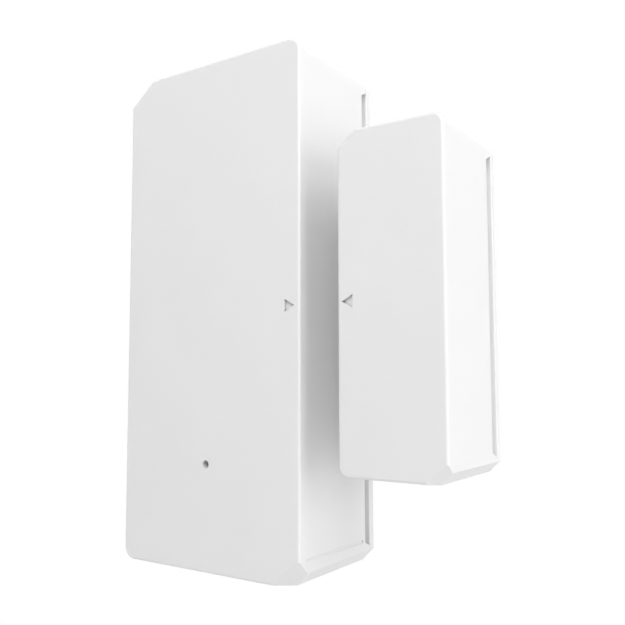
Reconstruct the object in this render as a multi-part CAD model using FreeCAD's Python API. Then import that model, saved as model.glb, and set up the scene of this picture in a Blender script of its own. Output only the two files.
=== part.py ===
import FreeCAD, Part
import math
import os

# Door contact sensor: a battery sensor unit for the frame and a magnet unit for the door.
# Millimetres. Origin: centre of the sensor's adhesive face. +X points from the sensor to the
# magnet unit, -Y is the front, +Z is up. The adhesive faces look along +Y.

Vector = FreeCAD.Vector

# --- driving dimensions ---------------------------------------------------------------------
FRONT_Y = -19.0            # front faces of both units lie in one plane
UNIT_GAP = 5.6             # free gap between the two units
WALL = 1.2                 # side walls of the shells
FRONT_WALL = 1.5           # front walls of the shells
EDGE_ROUND = 0.35          # small round along the front edges
SEAM_ROUND = 0.15          # round on both sides of the seam between shell and cover
RECESS_DEPTH = 0.8         # how deep the side recesses are cut
LINE_TO_BEVEL = 1.45       # from the soft line on the side wall to the bevel's edge
LINE_TO_FRONT = 1.1        # from the soft line's end to the round of the front edge
LINE_TO_RECESS = 0.6       # from its other end to the side recess
LINE_WIDTH = 0.5
LINE_DEPTH = 0.12
SMALLEST_CORNER = 0.4      # corners of the inner outlines stay at least this large
LIP_CLEARANCE = 0.1        # cover lip to shell wall, each side
LIP_WALL = 1.0             # thickness of the cover's lip
LIP_REACH = 1.6            # how far the lip reaches past the side recess
PAD_THICKNESS = 0.6        # foam adhesive pads
PAD_INSET = 2.0            # pad edge to cover edge
PAD_CORNER = 1.5           # corner radius of the pads
MARK_DEPTH = 0.36          # engraving depth of the alignment triangles
MARK_LENGTH = 1.5          # triangle, base to tip
MARK_HEIGHT = 1.65         # triangle, along its base
SENSOR_MARK_INSET = 0.85   # triangle's tip to the sensor's right wall
MAGNET_MARK_INSET = 0.6    # triangle's tip to the magnet unit's left wall

CELL_RADIUS = 5.25         # AAA cell over its sleeve
CELL_LENGTH = 44.5         # AAA cell with its positive nub
SLEEVE_THICKNESS = 0.1
CELL_PITCH = 10.8          # between the axes of the two cells
PLATE_THICKNESS = 0.3      # battery contact plates
SPRING_LENGTH = 3.3        # coil springs as compressed by the cells

BOARD_FRONT_Y = -15.0
BOARD_THICKNESS = 1.0
BOARD_CLEARANCE = 0.5      # board edge to shell wall

REED_CENTRE = Vector(11.3, -16.1, 0)
REED_LENGTH = 10.0
REED_RADIUS = 0.9


class Case:
    """Sizes of one moulded case: shell, back cover and adhesive pad."""

    def __init__(self, centre_x, width, height, depth, recess, band, corner, cut, recess_end):
        self.centre_x = centre_x
        self.width = width
        self.height = height
        self.back_y = FRONT_Y + depth
        self.band_y = self.back_y - band
        self.recess_y = self.band_y - recess
        self.corner = corner
        self.cut = cut
        self.recess_end = recess_end

    def left(self):
        return self.centre_x - self.width / 2

    def right(self):
        return self.centre_x + self.width / 2

    def top(self):
        return self.height / 2

    def lip_y(self):
        return self.recess_y - LIP_REACH


SENSOR = Case(centre_x=0, width=31, height=70, depth=18.4, recess=1.3, band=1.3,
              corner=1.8, cut=(4.6, 3.4, 3.5), recess_end=3.0)
MAGNET_WIDTH = 14.2
MAGNET_CENTRE_X = SENSOR.right() + UNIT_GAP + MAGNET_WIDTH / 2
MAGNET = Case(centre_x=MAGNET_CENTRE_X, width=MAGNET_WIDTH, height=42, depth=15.8, recess=1.6,
              band=1.2, corner=1.4, cut=(3.0, 2.1, 2.5), recess_end=2.6)

INNER_FRONT_Y = FRONT_Y + FRONT_WALL
BOARD_BACK_Y = BOARD_FRONT_Y + BOARD_THICKNESS


# --- basic solids ---------------------------------------------------------------------------
def block(x_range, y_range, z_range):
    """Box between two limits along each axis."""
    corner = Vector(x_range[0], y_range[0], z_range[0])
    return Part.makeBox(x_range[1] - x_range[0], y_range[1] - y_range[0],
                        z_range[1] - z_range[0], corner)


def centred_block(centre, size):
    """Box of a given size about a centre point."""
    limits = [(centre[i] - size[i] / 2, centre[i] + size[i] / 2) for i in range(3)]
    return block(*limits)


def rod_y(x, z, radius, y_from, y_to):
    """Round rod along Y."""
    return Part.makeCylinder(radius, y_to - y_from, Vector(x, y_from, z), Vector(0, 1, 0))


def rod_z(x, y, radius, z_from, z_to):
    """Round rod along Z."""
    return Part.makeCylinder(radius, z_to - z_from, Vector(x, y, z_from), Vector(0, 0, 1))


def prism(points, direction):
    """Prism from a flat loop of points, pushed along a direction."""
    wire = Part.makePolygon(list(points) + [points[0]])
    return Part.Face(wire).extrude(direction)


def fuse_all(shapes):
    """One solid from overlapping shapes."""
    result = shapes[0]
    for shape in shapes[1:]:
        result = result.fuse(shape)
    return result.removeSplitter()


def cut_all(shape, tools):
    """Shape with every tool cut away."""
    for tool in tools:
        shape = shape.cut(tool)
    return shape


def edges_at_y(shape, level):
    """Edges that lie wholly in one plane of constant Y."""
    found = []
    for edge in shape.Edges:
        box = edge.BoundBox
        if abs(box.YMin - level) < 1e-4 and abs(box.YMax - level) < 1e-4:
            found.append(edge)
    return found


# --- case outline: round at top right and bottom left, bevelled at the other two corners ------
def outline_solid(case, inset, y_from, y_to):
    """Case outline, moved inwards, as a prism between two depths."""
    half_w = case.width / 2 - inset
    half_h = case.height / 2 - inset
    radius = max(case.corner - inset, SMALLEST_CORNER)
    bevel = max(case.corner - inset * (2 - math.sqrt(2)), SMALLEST_CORNER)
    x = case.centre_x

    def at(px, pz):
        return Vector(x + px, y_from, pz)

    def corner_arc(sign):
        middle = radius * (1 - math.sqrt(0.5))
        return Part.Arc(at(sign * (half_w - radius), sign * half_h),
                        at(sign * (half_w - middle), sign * (half_h - middle)),
                        at(sign * half_w, sign * (half_h - radius))).toShape()

    def line(start, end):
        return Part.LineSegment(start, end).toShape()

    edges = [
        line(at(-half_w + bevel, half_h), at(half_w - radius, half_h)),
        corner_arc(1),
        line(at(half_w, half_h - radius), at(half_w, -half_h + bevel)),
        line(at(half_w, -half_h + bevel), at(half_w - bevel, -half_h)),
        line(at(half_w - bevel, -half_h), at(-half_w + radius, -half_h)),
        corner_arc(-1),
        line(at(-half_w, -half_h + radius), at(-half_w, half_h - bevel)),
        line(at(-half_w, half_h - bevel), at(-half_w + bevel, half_h)),
    ]
    face = Part.Face(Part.Wire(edges))
    return face.extrude(Vector(0, y_to - y_from, 0))


def corner_cut(case, sign, depth):
    """Pyramid that slices a front corner off: top left for sign 1, bottom right for -1.

    The slicing plane meets the three edges of the square corner at the lengths in case.cut,
    and lies deeper by the given distance.
    """
    reach = case.cut
    slope = math.sqrt(sum(1 / length ** 2 for length in reach))
    overshoot = 1.0
    scale = 1 + depth * slope + overshoot * sum(1 / length for length in reach)
    legs = [length * scale for length in reach]
    tip = Vector(case.centre_x - sign * (case.width / 2 + overshoot), FRONT_Y - overshoot,
                 sign * (case.height / 2 + overshoot))
    along_x = tip + Vector(sign * legs[0], 0, 0)
    along_y = tip + Vector(0, legs[1], 0)
    along_z = tip + Vector(0, 0, -sign * legs[2])
    loops = [(tip, along_x, along_y), (tip, along_y, along_z), (tip, along_z, along_x),
             (along_x, along_z, along_y)]
    faces = [Part.Face(Part.makePolygon([a, b, c, a])) for a, b, c in loops]
    solid = Part.Solid(Part.Shell(faces))
    if solid.Volume < 0:
        solid.reverse()
    return solid


def side_recess(case, side):
    """Long recess at the rear edge of a side wall, with slanted ends."""
    slant = (case.band_y - case.recess_y) * 0.5
    front_end = case.height / 2 - case.recess_end
    rear_end = front_end + slant
    wall_x = case.centre_x + side * (case.width / 2 + 1)
    thickness = RECESS_DEPTH + 1
    loop = [Vector(wall_x, case.recess_y, -front_end), Vector(wall_x, case.recess_y, front_end),
            Vector(wall_x, case.band_y, rear_end), Vector(wall_x, case.band_y, -rear_end)]
    return prism(loop, Vector(-side * thickness, 0, 0))


def bevel_line(case, side):
    """Soft line along a side wall, next to the bevelled corner: low on the right, high on the left."""
    radius = (LINE_WIDTH ** 2 / 4 + LINE_DEPTH ** 2) / (2 * LINE_DEPTH)
    x = case.centre_x + side * (case.width / 2 + radius - LINE_DEPTH)
    z = -side * (case.height / 2 - case.corner - LINE_TO_BEVEL)
    return rod_y(x, z, radius, FRONT_Y + EDGE_ROUND + LINE_TO_FRONT,
                 case.recess_y - LINE_TO_RECESS)


def alignment_mark(tip_x, direction):
    """Engraved triangle on the front face, with its tip at tip_x."""
    base_x = tip_x - direction * MARK_LENGTH
    loop = [Vector(tip_x, FRONT_Y - 1, 0), Vector(base_x, FRONT_Y - 1, MARK_HEIGHT / 2),
            Vector(base_x, FRONT_Y - 1, -MARK_HEIGHT / 2)]
    return prism(loop, Vector(0, 1 + MARK_DEPTH, 0))


# --- snap hooks -----------------------------------------------------------------------------
HOOK_WIDTH = 5.0
HOOK_THICKNESS = 0.9
HOOK_REACH = 3.0
BARB_HEIGHT = 0.4
BARB_LENGTH = 1.0
SENSOR_HOOK_Z = 16.0
MAGNET_HOOK_Z = 9.0


def hook(case, side, centre_z):
    """Snap hook that stands on the front edge of the cover's lip, with its barb outwards."""
    outer = case.centre_x + side * (case.width / 2 - WALL - LIP_CLEARANCE)
    inner = outer - side * HOOK_THICKNESS
    tip_y = case.lip_y() - HOOK_REACH
    barb_y = tip_y + BARB_LENGTH
    barb_x = outer + side * BARB_HEIGHT
    low = centre_z - HOOK_WIDTH / 2
    loop = [Vector(inner, case.lip_y(), low), Vector(outer, case.lip_y(), low),
            Vector(outer, barb_y + BARB_HEIGHT, low), Vector(barb_x, barb_y, low),
            Vector(outer, tip_y, low), Vector(inner, tip_y, low)]
    return prism(loop, Vector(0, 0, HOOK_WIDTH))


def hook_pocket(case, side, centre_z):
    """Blind pocket in the shell wall that a barb snaps into."""
    wall_x = case.centre_x + side * (case.width / 2 - WALL)
    tip_y = case.lip_y() - HOOK_REACH
    depth = BARB_HEIGHT - LIP_CLEARANCE + 0.1
    x_range = sorted((wall_x - side * 0.5, wall_x + side * depth))
    half = HOOK_WIDTH / 2 + 0.2
    return block(x_range, (tip_y - 0.1, tip_y + BARB_LENGTH + BARB_HEIGHT + 0.1),
                 (centre_z - half, centre_z + half))


def all_hooks(case, hook_z, maker):
    """The four hooks, or the four pockets, of one case."""
    return [maker(case, side, z) for side in (-1, 1) for z in (-hook_z, hook_z)]


# --- case parts shared by both units ----------------------------------------------------------
def hollow_shell(case, hook_z):
    """Front shell, open at the back, before its inner features."""
    body = outline_solid(case, 0, FRONT_Y, case.band_y)
    hollow = outline_solid(case, WALL, INNER_FRONT_Y, case.band_y + 1)
    for sign in (1, -1):
        body = body.cut(corner_cut(case, sign, 0))
        hollow = hollow.cut(corner_cut(case, sign, WALL))
    body = body.makeFillet(EDGE_ROUND, edges_at_y(body, FRONT_Y))
    body = body.makeFillet(SEAM_ROUND, edges_at_y(body, case.band_y))
    body = body.cut(hollow)
    recesses = [side_recess(case, side) for side in (-1, 1)]
    return cut_all(body, recesses + all_hooks(case, hook_z, hook_pocket))


def back_cover(case):
    """Flat cover with a rim lip that fits inside the shell."""
    plate = outline_solid(case, 0, case.band_y, case.back_y)
    plate = plate.makeFillet(EDGE_ROUND, edges_at_y(plate, case.back_y))
    plate = plate.makeFillet(SEAM_ROUND, edges_at_y(plate, case.band_y))
    outer = WALL + LIP_CLEARANCE
    lip = outline_solid(case, outer, case.lip_y(), case.band_y)
    lip = lip.cut(outline_solid(case, outer + LIP_WALL, case.lip_y() - 1, case.band_y))
    return plate.fuse(lip)


def adhesive_pad(case):
    """Foam tape on the cover's rear face."""
    pad = block((case.left() + PAD_INSET, case.right() - PAD_INSET),
                (case.back_y, case.back_y + PAD_THICKNESS),
                (-case.top() + PAD_INSET, case.top() - PAD_INSET))
    upright = [edge for edge in pad.Edges if edge.BoundBox.YLength > PAD_THICKNESS / 2]
    return pad.makeFillet(PAD_CORNER, upright)


# --- places inside the sensor -----------------------------------------------------------------
PINHOLE = (0, -20.75)
PINHOLE_RADIUS = 0.55
TUNNEL_RADIUS = 1.6
LED_HEIGHT = 0.7

POST_RADIUS = 1.7
SCREW_RADIUS = 0.85
SCREW_REACH = 3.6
SCREW_HEAD_RADIUS = 1.5
SCREW_HEAD_HEIGHT = 1.0
SCREW_PLACES = [(-11.0, -30.8), (11.0, -30.8)]
PIN_RADIUS = 0.6
PIN_PLACES = [(-12.9, 29.5), (12.9, 29.5)]

RIB_PLACES_Z = (-21.0, -27.0)
RIB_HEIGHT = 1.4
RIB_THICKNESS = 1.0
RIB_OVERLAP = 0.2          # into the lip at each end

TRAY_HALF_WIDTH = 11.9
TRAY_WALL = 0.9
TRAY_TOP_Z = 33.3
TRAY_WALL_BACK_Y = -5.6
TRAY_FLOOR = 0.9
CONTACT_TOP_Z = TRAY_TOP_Z - TRAY_WALL
CONTACT_BOTTOM_Z = CONTACT_TOP_Z - CELL_LENGTH - SPRING_LENGTH - 2 * PLATE_THICKNESS
CELL_CENTRE_Y = BOARD_BACK_Y + TRAY_FLOOR + 0.1 + CELL_RADIUS
PEG_RADIUS = 0.8
PEG_PLACES = [(0, 22.0), (0, -6.0)]

LEG_WIDTH = 1.5
LEG_X = 3.4
LEG_REACH_Y = BOARD_FRONT_Y - 0.5


def contact_leg(side):
    """Solder leg of a bottom contact, through the tray floor and the board."""
    return block((side * LEG_X - LEG_WIDTH / 2, side * LEG_X + LEG_WIDTH / 2),
                 (LEG_REACH_Y, CELL_CENTRE_Y - 4.0),
                 (CONTACT_BOTTOM_Z, CONTACT_BOTTOM_Z + PLATE_THICKNESS))


def leg_slot(side):
    """Slot that clears a contact's leg."""
    clearance = 0.1
    half = LEG_WIDTH / 2 + clearance
    return block((side * LEG_X - half, side * LEG_X + half),
                 (BOARD_FRONT_Y - 1, BOARD_BACK_Y + TRAY_FLOOR + 1),
                 (CONTACT_BOTTOM_Z - clearance, CONTACT_BOTTOM_Z + PLATE_THICKNESS + clearance))


# --- sensor case ------------------------------------------------------------------------------
def sensor_shell():
    shell = hollow_shell(SENSOR, SENSOR_HOOK_Z)
    shell = cut_all(shell, [bevel_line(SENSOR, side) for side in (-1, 1)])
    tunnel_end = BOARD_FRONT_Y - LED_HEIGHT - 0.2
    added = [rod_y(*PINHOLE, TUNNEL_RADIUS, INNER_FRONT_Y, tunnel_end)]
    for x, z in SCREW_PLACES:
        added.append(rod_y(x, z, POST_RADIUS, INNER_FRONT_Y, BOARD_FRONT_Y))
    for x, z in PIN_PLACES:
        added.append(rod_y(x, z, PIN_RADIUS * 2, INNER_FRONT_Y, BOARD_FRONT_Y))
        added.append(rod_y(x, z, PIN_RADIUS, INNER_FRONT_Y, BOARD_BACK_Y + 0.4))
    shell = fuse_all([shell] + added)
    removed = [rod_y(*PINHOLE, PINHOLE_RADIUS, FRONT_Y - 1, tunnel_end + 1),
               alignment_mark(SENSOR.right() - SENSOR_MARK_INSET, 1)]
    for x, z in SCREW_PLACES:
        removed.append(rod_y(x, z, SCREW_RADIUS, BOARD_BACK_Y - SCREW_REACH, BOARD_FRONT_Y + 1))
    return cut_all(shell, removed)


def sensor_cover():
    """Back cover with two stiffening ribs across its lower end."""
    cover = back_cover(SENSOR)
    rib_half = SENSOR.width / 2 - WALL - LIP_CLEARANCE - LIP_WALL + RIB_OVERLAP
    ribs = []
    for z in RIB_PLACES_Z:
        ribs.append(block((-rib_half, rib_half), (SENSOR.band_y - RIB_HEIGHT, SENSOR.band_y + 0.1),
                          (z - RIB_THICKNESS / 2, z + RIB_THICKNESS / 2)))
    return fuse_all([cover] + ribs)


# --- board and battery --------------------------------------------------------------------------
def main_board():
    board = outline_solid(SENSOR, WALL + BOARD_CLEARANCE, BOARD_FRONT_Y, BOARD_BACK_Y)
    holes = [rod_y(x, z, SCREW_RADIUS + 0.1, BOARD_FRONT_Y - 1, BOARD_BACK_Y + 1)
             for x, z in SCREW_PLACES]
    holes += [rod_y(x, z, PIN_RADIUS + 0.1, BOARD_FRONT_Y - 1, BOARD_BACK_Y + 1)
              for x, z in PIN_PLACES]
    holes += [rod_y(x, z, PEG_RADIUS + 0.1, BOARD_FRONT_Y - 1, BOARD_BACK_Y + 1)
              for x, z in PEG_PLACES]
    holes += [rod_y(REED_CENTRE.x, side * REED_LEAD_Z, REED_LEAD_RADIUS, BOARD_FRONT_Y - 1,
                    BOARD_BACK_Y + 1) for side in (-1, 1)]
    return cut_all(board, holes + [leg_slot(side) for side in (-1, 1)])


def board_screw(x, z):
    """Self-tapping screw with a cross recess, driven from the back."""
    shank = rod_y(x, z, SCREW_RADIUS, BOARD_BACK_Y - SCREW_REACH, BOARD_BACK_Y + 0.1)
    head = rod_y(x, z, SCREW_HEAD_RADIUS, BOARD_BACK_Y, BOARD_BACK_Y + SCREW_HEAD_HEIGHT)
    rim = edges_at_y(head, BOARD_BACK_Y + SCREW_HEAD_HEIGHT)
    screw = head.makeFillet(0.4, rim).fuse(shank)
    recess_y = BOARD_BACK_Y + SCREW_HEAD_HEIGHT
    bars = [centred_block((x, recess_y, z), (1.7, 1.2, 0.35)),
            centred_block((x, recess_y, z), (0.35, 1.2, 1.7))]
    return cut_all(screw, bars)


def battery_tray():
    """Open tray for the two cells, pegged to the board."""
    bottom_z = CONTACT_BOTTOM_Z - TRAY_WALL
    outer = block((-TRAY_HALF_WIDTH, TRAY_HALF_WIDTH), (BOARD_BACK_Y, TRAY_WALL_BACK_Y),
                  (bottom_z, TRAY_TOP_Z))
    inner_half = TRAY_HALF_WIDTH - TRAY_WALL
    inner = block((-inner_half, inner_half), (BOARD_BACK_Y + TRAY_FLOOR, TRAY_WALL_BACK_Y + 1),
                  (CONTACT_BOTTOM_Z, CONTACT_TOP_Z))
    tray = outer.cut(inner)
    cell_low_z = CONTACT_BOTTOM_Z + 6.0
    cell_high_z = CONTACT_TOP_Z - 6.0
    finger_gap = block((-TRAY_HALF_WIDTH - 1, TRAY_HALF_WIDTH + 1),
                       (CELL_CENTRE_Y, TRAY_WALL_BACK_Y + 1), (cell_low_z, cell_high_z))
    tray = tray.cut(finger_gap)
    ridge_foot = 1.6
    ridge = prism([Vector(-ridge_foot, BOARD_BACK_Y + TRAY_FLOOR - 0.1, cell_low_z),
                   Vector(ridge_foot, BOARD_BACK_Y + TRAY_FLOOR - 0.1, cell_low_z),
                   Vector(0, CELL_CENTRE_Y - 2.6, cell_low_z)],
                  Vector(0, 0, cell_high_z - cell_low_z))
    pegs = [rod_y(x, z, PEG_RADIUS, BOARD_FRONT_Y - 0.3, BOARD_BACK_Y + 0.1)
            for x, z in PEG_PLACES]
    tray = fuse_all([tray, ridge] + pegs)
    return cut_all(tray, [leg_slot(side) for side in (-1, 1)])


def cell(x, up):
    """Core, steel can with its nub, and sleeve of one cell. up is 1 or -1 for the nub's end."""
    can_radius = CELL_RADIUS - SLEEVE_THICKNESS
    can_wall = 0.25
    nub_height = 1.0
    nub_radius = 1.9
    body_length = CELL_LENGTH - nub_height
    if up > 0:
        low = CONTACT_TOP_Z - PLATE_THICKNESS - CELL_LENGTH
        nub_from = low + body_length
    else:
        low = CONTACT_BOTTOM_Z + PLATE_THICKNESS + nub_height
        nub_from = low - nub_height
    can = rod_z(x, CELL_CENTRE_Y, can_radius, low, low + body_length)
    can = can.makeFillet(0.5, [edge for edge in can.Edges if edge.Closed])
    nub = rod_z(x, CELL_CENTRE_Y, nub_radius, nub_from, nub_from + nub_height)
    nub_end = nub_from + nub_height if up > 0 else nub_from
    nub = nub.makeFillet(0.3, [edge for edge in nub.Edges
                               if edge.Closed and abs(edge.BoundBox.ZMin - nub_end) < 0.01])
    margin = 0.6
    sleeve = rod_z(x, CELL_CENTRE_Y, CELL_RADIUS, low + margin, low + body_length - margin)
    sleeve = sleeve.cut(rod_z(x, CELL_CENTRE_Y, can_radius, low, low + body_length))
    core = rod_z(x, CELL_CENTRE_Y, can_radius - can_wall, low + can_wall, low + body_length - can_wall)
    return core, can.fuse(nub).cut(core), sleeve


SPRING_WIRE = 0.25
SPRING_TURNS = 3
SPRING_WIDE = 3.0
SPRING_NARROW = 2.0
POINTS_PER_TURN = 12


def spiral_point(share, height):
    """Point at a given share of a conical spiral that narrows as it rises."""
    angle = 2 * math.pi * SPRING_TURNS * share
    radius = SPRING_WIDE + (SPRING_NARROW - SPRING_WIDE) * share
    return Vector(radius * math.cos(angle), radius * math.sin(angle), height * share)


def coil_spring(x, z_from, z_to, large_end_low):
    """Conical contact spring, with its wide end on the contact plate."""
    height = z_to - z_from - 2 * SPRING_WIRE
    count = SPRING_TURNS * POINTS_PER_TURN
    points = [spiral_point(i / count, height) for i in range(count + 1)]
    curve = Part.BSplineCurve()
    curve.interpolate(points)
    start_direction = curve.tangent(curve.FirstParameter)[0]
    profile = Part.Wire(Part.makeCircle(SPRING_WIRE, points[0], start_direction))
    spring = Part.Wire([curve.toShape()]).makePipeShell([profile], True, True)
    if not large_end_low:
        spring.rotate(Vector(0, 0, height / 2), Vector(1, 0, 0), 180)
    spring.translate(Vector(x, CELL_CENTRE_Y, z_from + SPRING_WIRE))
    return spring


CONTACT_WIDTH = 8.0
CONTACT_BELOW = 4.2
CONTACT_ABOVE = 2.0


def contact_plate(x_range, z_from):
    """Flat stamped plate against a tray end wall."""
    plate = block(x_range, (CELL_CENTRE_Y - CONTACT_BELOW, CELL_CENTRE_Y + CONTACT_ABOVE),
                  (z_from, z_from + PLATE_THICKNESS))
    upright = [edge for edge in plate.Edges if edge.BoundBox.ZLength > PLATE_THICKNESS / 2]
    return plate.makeFillet(0.8, upright)


def link_contact():
    """Plate that joins the two cells at the top."""
    half = CELL_PITCH / 2 + CONTACT_WIDTH / 2
    return contact_plate((-half, half), CONTACT_TOP_Z - PLATE_THICKNESS)


def bottom_contact(side):
    """Plate and solder leg at the bottom of one cell."""
    centre = side * CELL_PITCH / 2
    plate = contact_plate((centre - CONTACT_WIDTH / 2, centre + CONTACT_WIDTH / 2), CONTACT_BOTTOM_Z)
    return fuse_all([plate, contact_leg(side)])


# --- reed switch --------------------------------------------------------------------------------
REED_BORE = 0.62
REED_LEAD_RADIUS = 0.25
REED_LEAD_Z = 7.4
REED_SEAL = 0.9
BLADE_WIDTH = 0.8
BLADE_THICKNESS = 0.15
BLADE_OVERLAP = 0.8
BLADE_GAP = 0.02
BORE_END_Z = REED_LENGTH / 2 - REED_SEAL
HINGE_Z = BORE_END_Z - 0.1


def reed_glass():
    """Sealed glass tube with round ends."""
    x, y = REED_CENTRE.x, REED_CENTRE.y
    half = REED_LENGTH / 2
    tube = rod_z(x, y, REED_RADIUS, -half, half)
    tube = tube.makeFillet(0.6, [edge for edge in tube.Edges if edge.Closed])
    bore = rod_z(x, y, REED_BORE, -BORE_END_Z, BORE_END_Z)
    leads = rod_z(x, y, REED_LEAD_RADIUS, -half - 1, half + 1)
    return tube.cut(bore).cut(leads)


def reed_lead(side, inner_z):
    """Outer wire: from inside the glass, out of its end, round a bend and through the board."""
    x, y = REED_CENTRE.x, REED_CENTRE.y
    bend = 0.5
    path = [Part.LineSegment(Vector(x, y, inner_z), Vector(x, y, side * (REED_LEAD_Z - bend))),
            Part.Arc(Vector(x, y, side * (REED_LEAD_Z - bend)),
                     Vector(x, y + bend * (1 - math.sqrt(0.5)),
                            side * (REED_LEAD_Z - bend * (1 - math.sqrt(0.5)))),
                     Vector(x, y + bend, side * REED_LEAD_Z)),
            Part.LineSegment(Vector(x, y + bend, side * REED_LEAD_Z),
                             Vector(x, BOARD_BACK_Y - 0.1, side * REED_LEAD_Z))]
    spine = Part.Wire([piece.toShape() for piece in path])
    profile = Part.Wire(Part.makeCircle(REED_LEAD_RADIUS, Vector(x, y, inner_z), Vector(0, 0, side)))
    return spine.makePipeShell([profile], True, True)


def blade(z_from, z_to, y_from):
    """Flat reed inside the glass."""
    x = REED_CENTRE.x
    return block((x - BLADE_WIDTH / 2, x + BLADE_WIDTH / 2), (y_from, y_from + BLADE_THICKNESS),
                 (z_from, z_to))


def reed_fixed_blade():
    """Lower lead with its flat reed, on the board side of the contact gap."""
    weld = 0.4
    reed = blade(-BORE_END_Z, BLADE_OVERLAP / 2, REED_CENTRE.y + BLADE_GAP / 2)
    return fuse_all([reed_lead(-1, weld - BORE_END_Z), reed])


def reed_moving_blade():
    """Flat reed that springs away from the other when no magnet is near."""
    return blade(-BLADE_OVERLAP / 2, HINGE_Z, REED_CENTRE.y - BLADE_GAP / 2 - BLADE_THICKNESS)


# --- parts on the board -------------------------------------------------------------------------
LED_LENS_HEIGHT = 0.4
LED_SIZE = (2.0, 1.25)


def led_body():
    x, z = PINHOLE
    base = LED_HEIGHT - LED_LENS_HEIGHT
    return centred_block((x, BOARD_FRONT_Y - base / 2, z), (LED_SIZE[0], base, LED_SIZE[1]))


def led_lens():
    x, z = PINHOLE
    centre_y = BOARD_FRONT_Y - LED_HEIGHT + LED_LENS_HEIGHT / 2
    lens = centred_block((x, centre_y, z), (LED_SIZE[0] * 0.65, LED_LENS_HEIGHT, LED_SIZE[1]))
    return lens.makeFillet(0.12, edges_at_y(lens, BOARD_FRONT_Y - LED_HEIGHT))


BUTTON_PLACE = (-8.6, -21.8)
BUTTON_SIZE = 6.0
BUTTON_BODY_HEIGHT = 3.2
BUTTON_COVER_THICKNESS = 0.25
PLUNGER_RADIUS = 1.7
PLUNGER_STANDS_OUT = 1.6
PLUNGER_CLEARANCE = 0.06
PLUNGER_TRAVEL = 0.25


def button_body():
    """Plastic base of the pairing button, with the plunger's well and four solder feet."""
    x, z = BUTTON_PLACE
    centre_y = BOARD_BACK_Y + BUTTON_BODY_HEIGHT / 2
    body = centred_block((x, centre_y, z), (BUTTON_SIZE, BUTTON_BODY_HEIGHT, BUTTON_SIZE))
    upright = [edge for edge in body.Edges if edge.BoundBox.YLength > BUTTON_BODY_HEIGHT / 2]
    body = body.makeFillet(0.3, upright)
    well = rod_y(x, z, PLUNGER_RADIUS + PLUNGER_CLEARANCE, BOARD_BACK_Y + 1.2,
                 BOARD_BACK_Y + BUTTON_BODY_HEIGHT + 1)
    return body.cut(well)


def button_cover():
    """Thin metal cover plate with the plunger's hole and four corner rivets."""
    x, z = BUTTON_PLACE
    low = BOARD_BACK_Y + BUTTON_BODY_HEIGHT
    plate = centred_block((x, low + BUTTON_COVER_THICKNESS / 2, z),
                          (BUTTON_SIZE - 0.4, BUTTON_COVER_THICKNESS, BUTTON_SIZE - 0.4))
    plate = plate.cut(rod_y(x, z, PLUNGER_RADIUS + PLUNGER_CLEARANCE, low - 1, low + 1))
    rivets = [rod_y(x + sx * 2.2, z + sz * 2.2, 0.4, low + 0.1, low + BUTTON_COVER_THICKNESS + 0.15)
              for sx in (-1, 1) for sz in (-1, 1)]
    return fuse_all([plate] + rivets)


def button_plunger():
    """Round plunger; it moves into the body when pressed."""
    x, z = BUTTON_PLACE
    back = BOARD_BACK_Y + BUTTON_BODY_HEIGHT + PLUNGER_STANDS_OUT
    front = BOARD_BACK_Y + 1.2 + PLUNGER_TRAVEL + 0.1
    plunger = rod_y(x, z, PLUNGER_RADIUS, front, back)
    return plunger.makeFillet(0.2, edges_at_y(plunger, back))


RADIO_X = (-3.8, 12.2)
RADIO_Z = (-28.4, -18.2)
RADIO_BOARD_THICKNESS = 0.8
SHIELD_LENGTH = 10.6
SHIELD_HEIGHT = 1.8
SHIELD_WALL = 0.2


def radio_board():
    """Small module board with half-round solder notches along its long edges."""
    board = block(RADIO_X, (BOARD_BACK_Y, BOARD_BACK_Y + RADIO_BOARD_THICKNESS), RADIO_Z)
    notches = []
    for step in range(8):
        x = RADIO_X[0] + 1.4 + step * 1.3
        for z in RADIO_Z:
            notches.append(rod_y(x, z, 0.3, BOARD_BACK_Y - 1, BOARD_BACK_Y + 2))
    return cut_all(board, notches)


def radio_shield():
    """Drawn metal can over the radio chip, hollow underneath."""
    low = BOARD_BACK_Y + RADIO_BOARD_THICKNESS
    x_range = (RADIO_X[0] + 0.5, RADIO_X[0] + 0.5 + SHIELD_LENGTH)
    z_range = (RADIO_Z[0] + 0.6, RADIO_Z[1] - 0.6)
    can = block(x_range, (low, low + SHIELD_HEIGHT), z_range)
    can = can.makeFillet(0.3, [edge for edge in can.Edges if edge.BoundBox.YMax > low + 0.1])
    inner = block((x_range[0] + SHIELD_WALL, x_range[1] - SHIELD_WALL),
                  (low - 1, low + SHIELD_HEIGHT - SHIELD_WALL),
                  (z_range[0] + SHIELD_WALL, z_range[1] - SHIELD_WALL))
    return can.cut(inner)


def radio_chip():
    """Bare square chip under the shield."""
    low = BOARD_BACK_Y + RADIO_BOARD_THICKNESS
    centre_x = RADIO_X[0] + 0.5 + SHIELD_LENGTH / 2
    centre_z = (RADIO_Z[0] + RADIO_Z[1]) / 2
    return centred_block((centre_x, low + 0.4, centre_z), (5.0, 0.8, 5.0))


def antenna_trace():
    """Folded copper strip on the free end of the module."""
    low = BOARD_BACK_Y + RADIO_BOARD_THICKNESS
    thickness = 0.1
    width = 0.5
    x_left = RADIO_X[0] + SHIELD_LENGTH + 1.6
    x_right = RADIO_X[1] - 0.5
    z_top = RADIO_Z[1] - 0.8
    pitch = 1.4
    runs = 7
    bars = []
    for run in range(runs):
        z = z_top - run * pitch
        bars.append(block((x_left, x_right), (low, low + thickness), (z - width, z)))
        if run < runs - 1:
            start = x_right - width if run % 2 == 0 else x_left
            bars.append(block((start, start + width), (low, low + thickness),
                              (z - pitch, z - width)))
    return fuse_all(bars)


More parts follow.
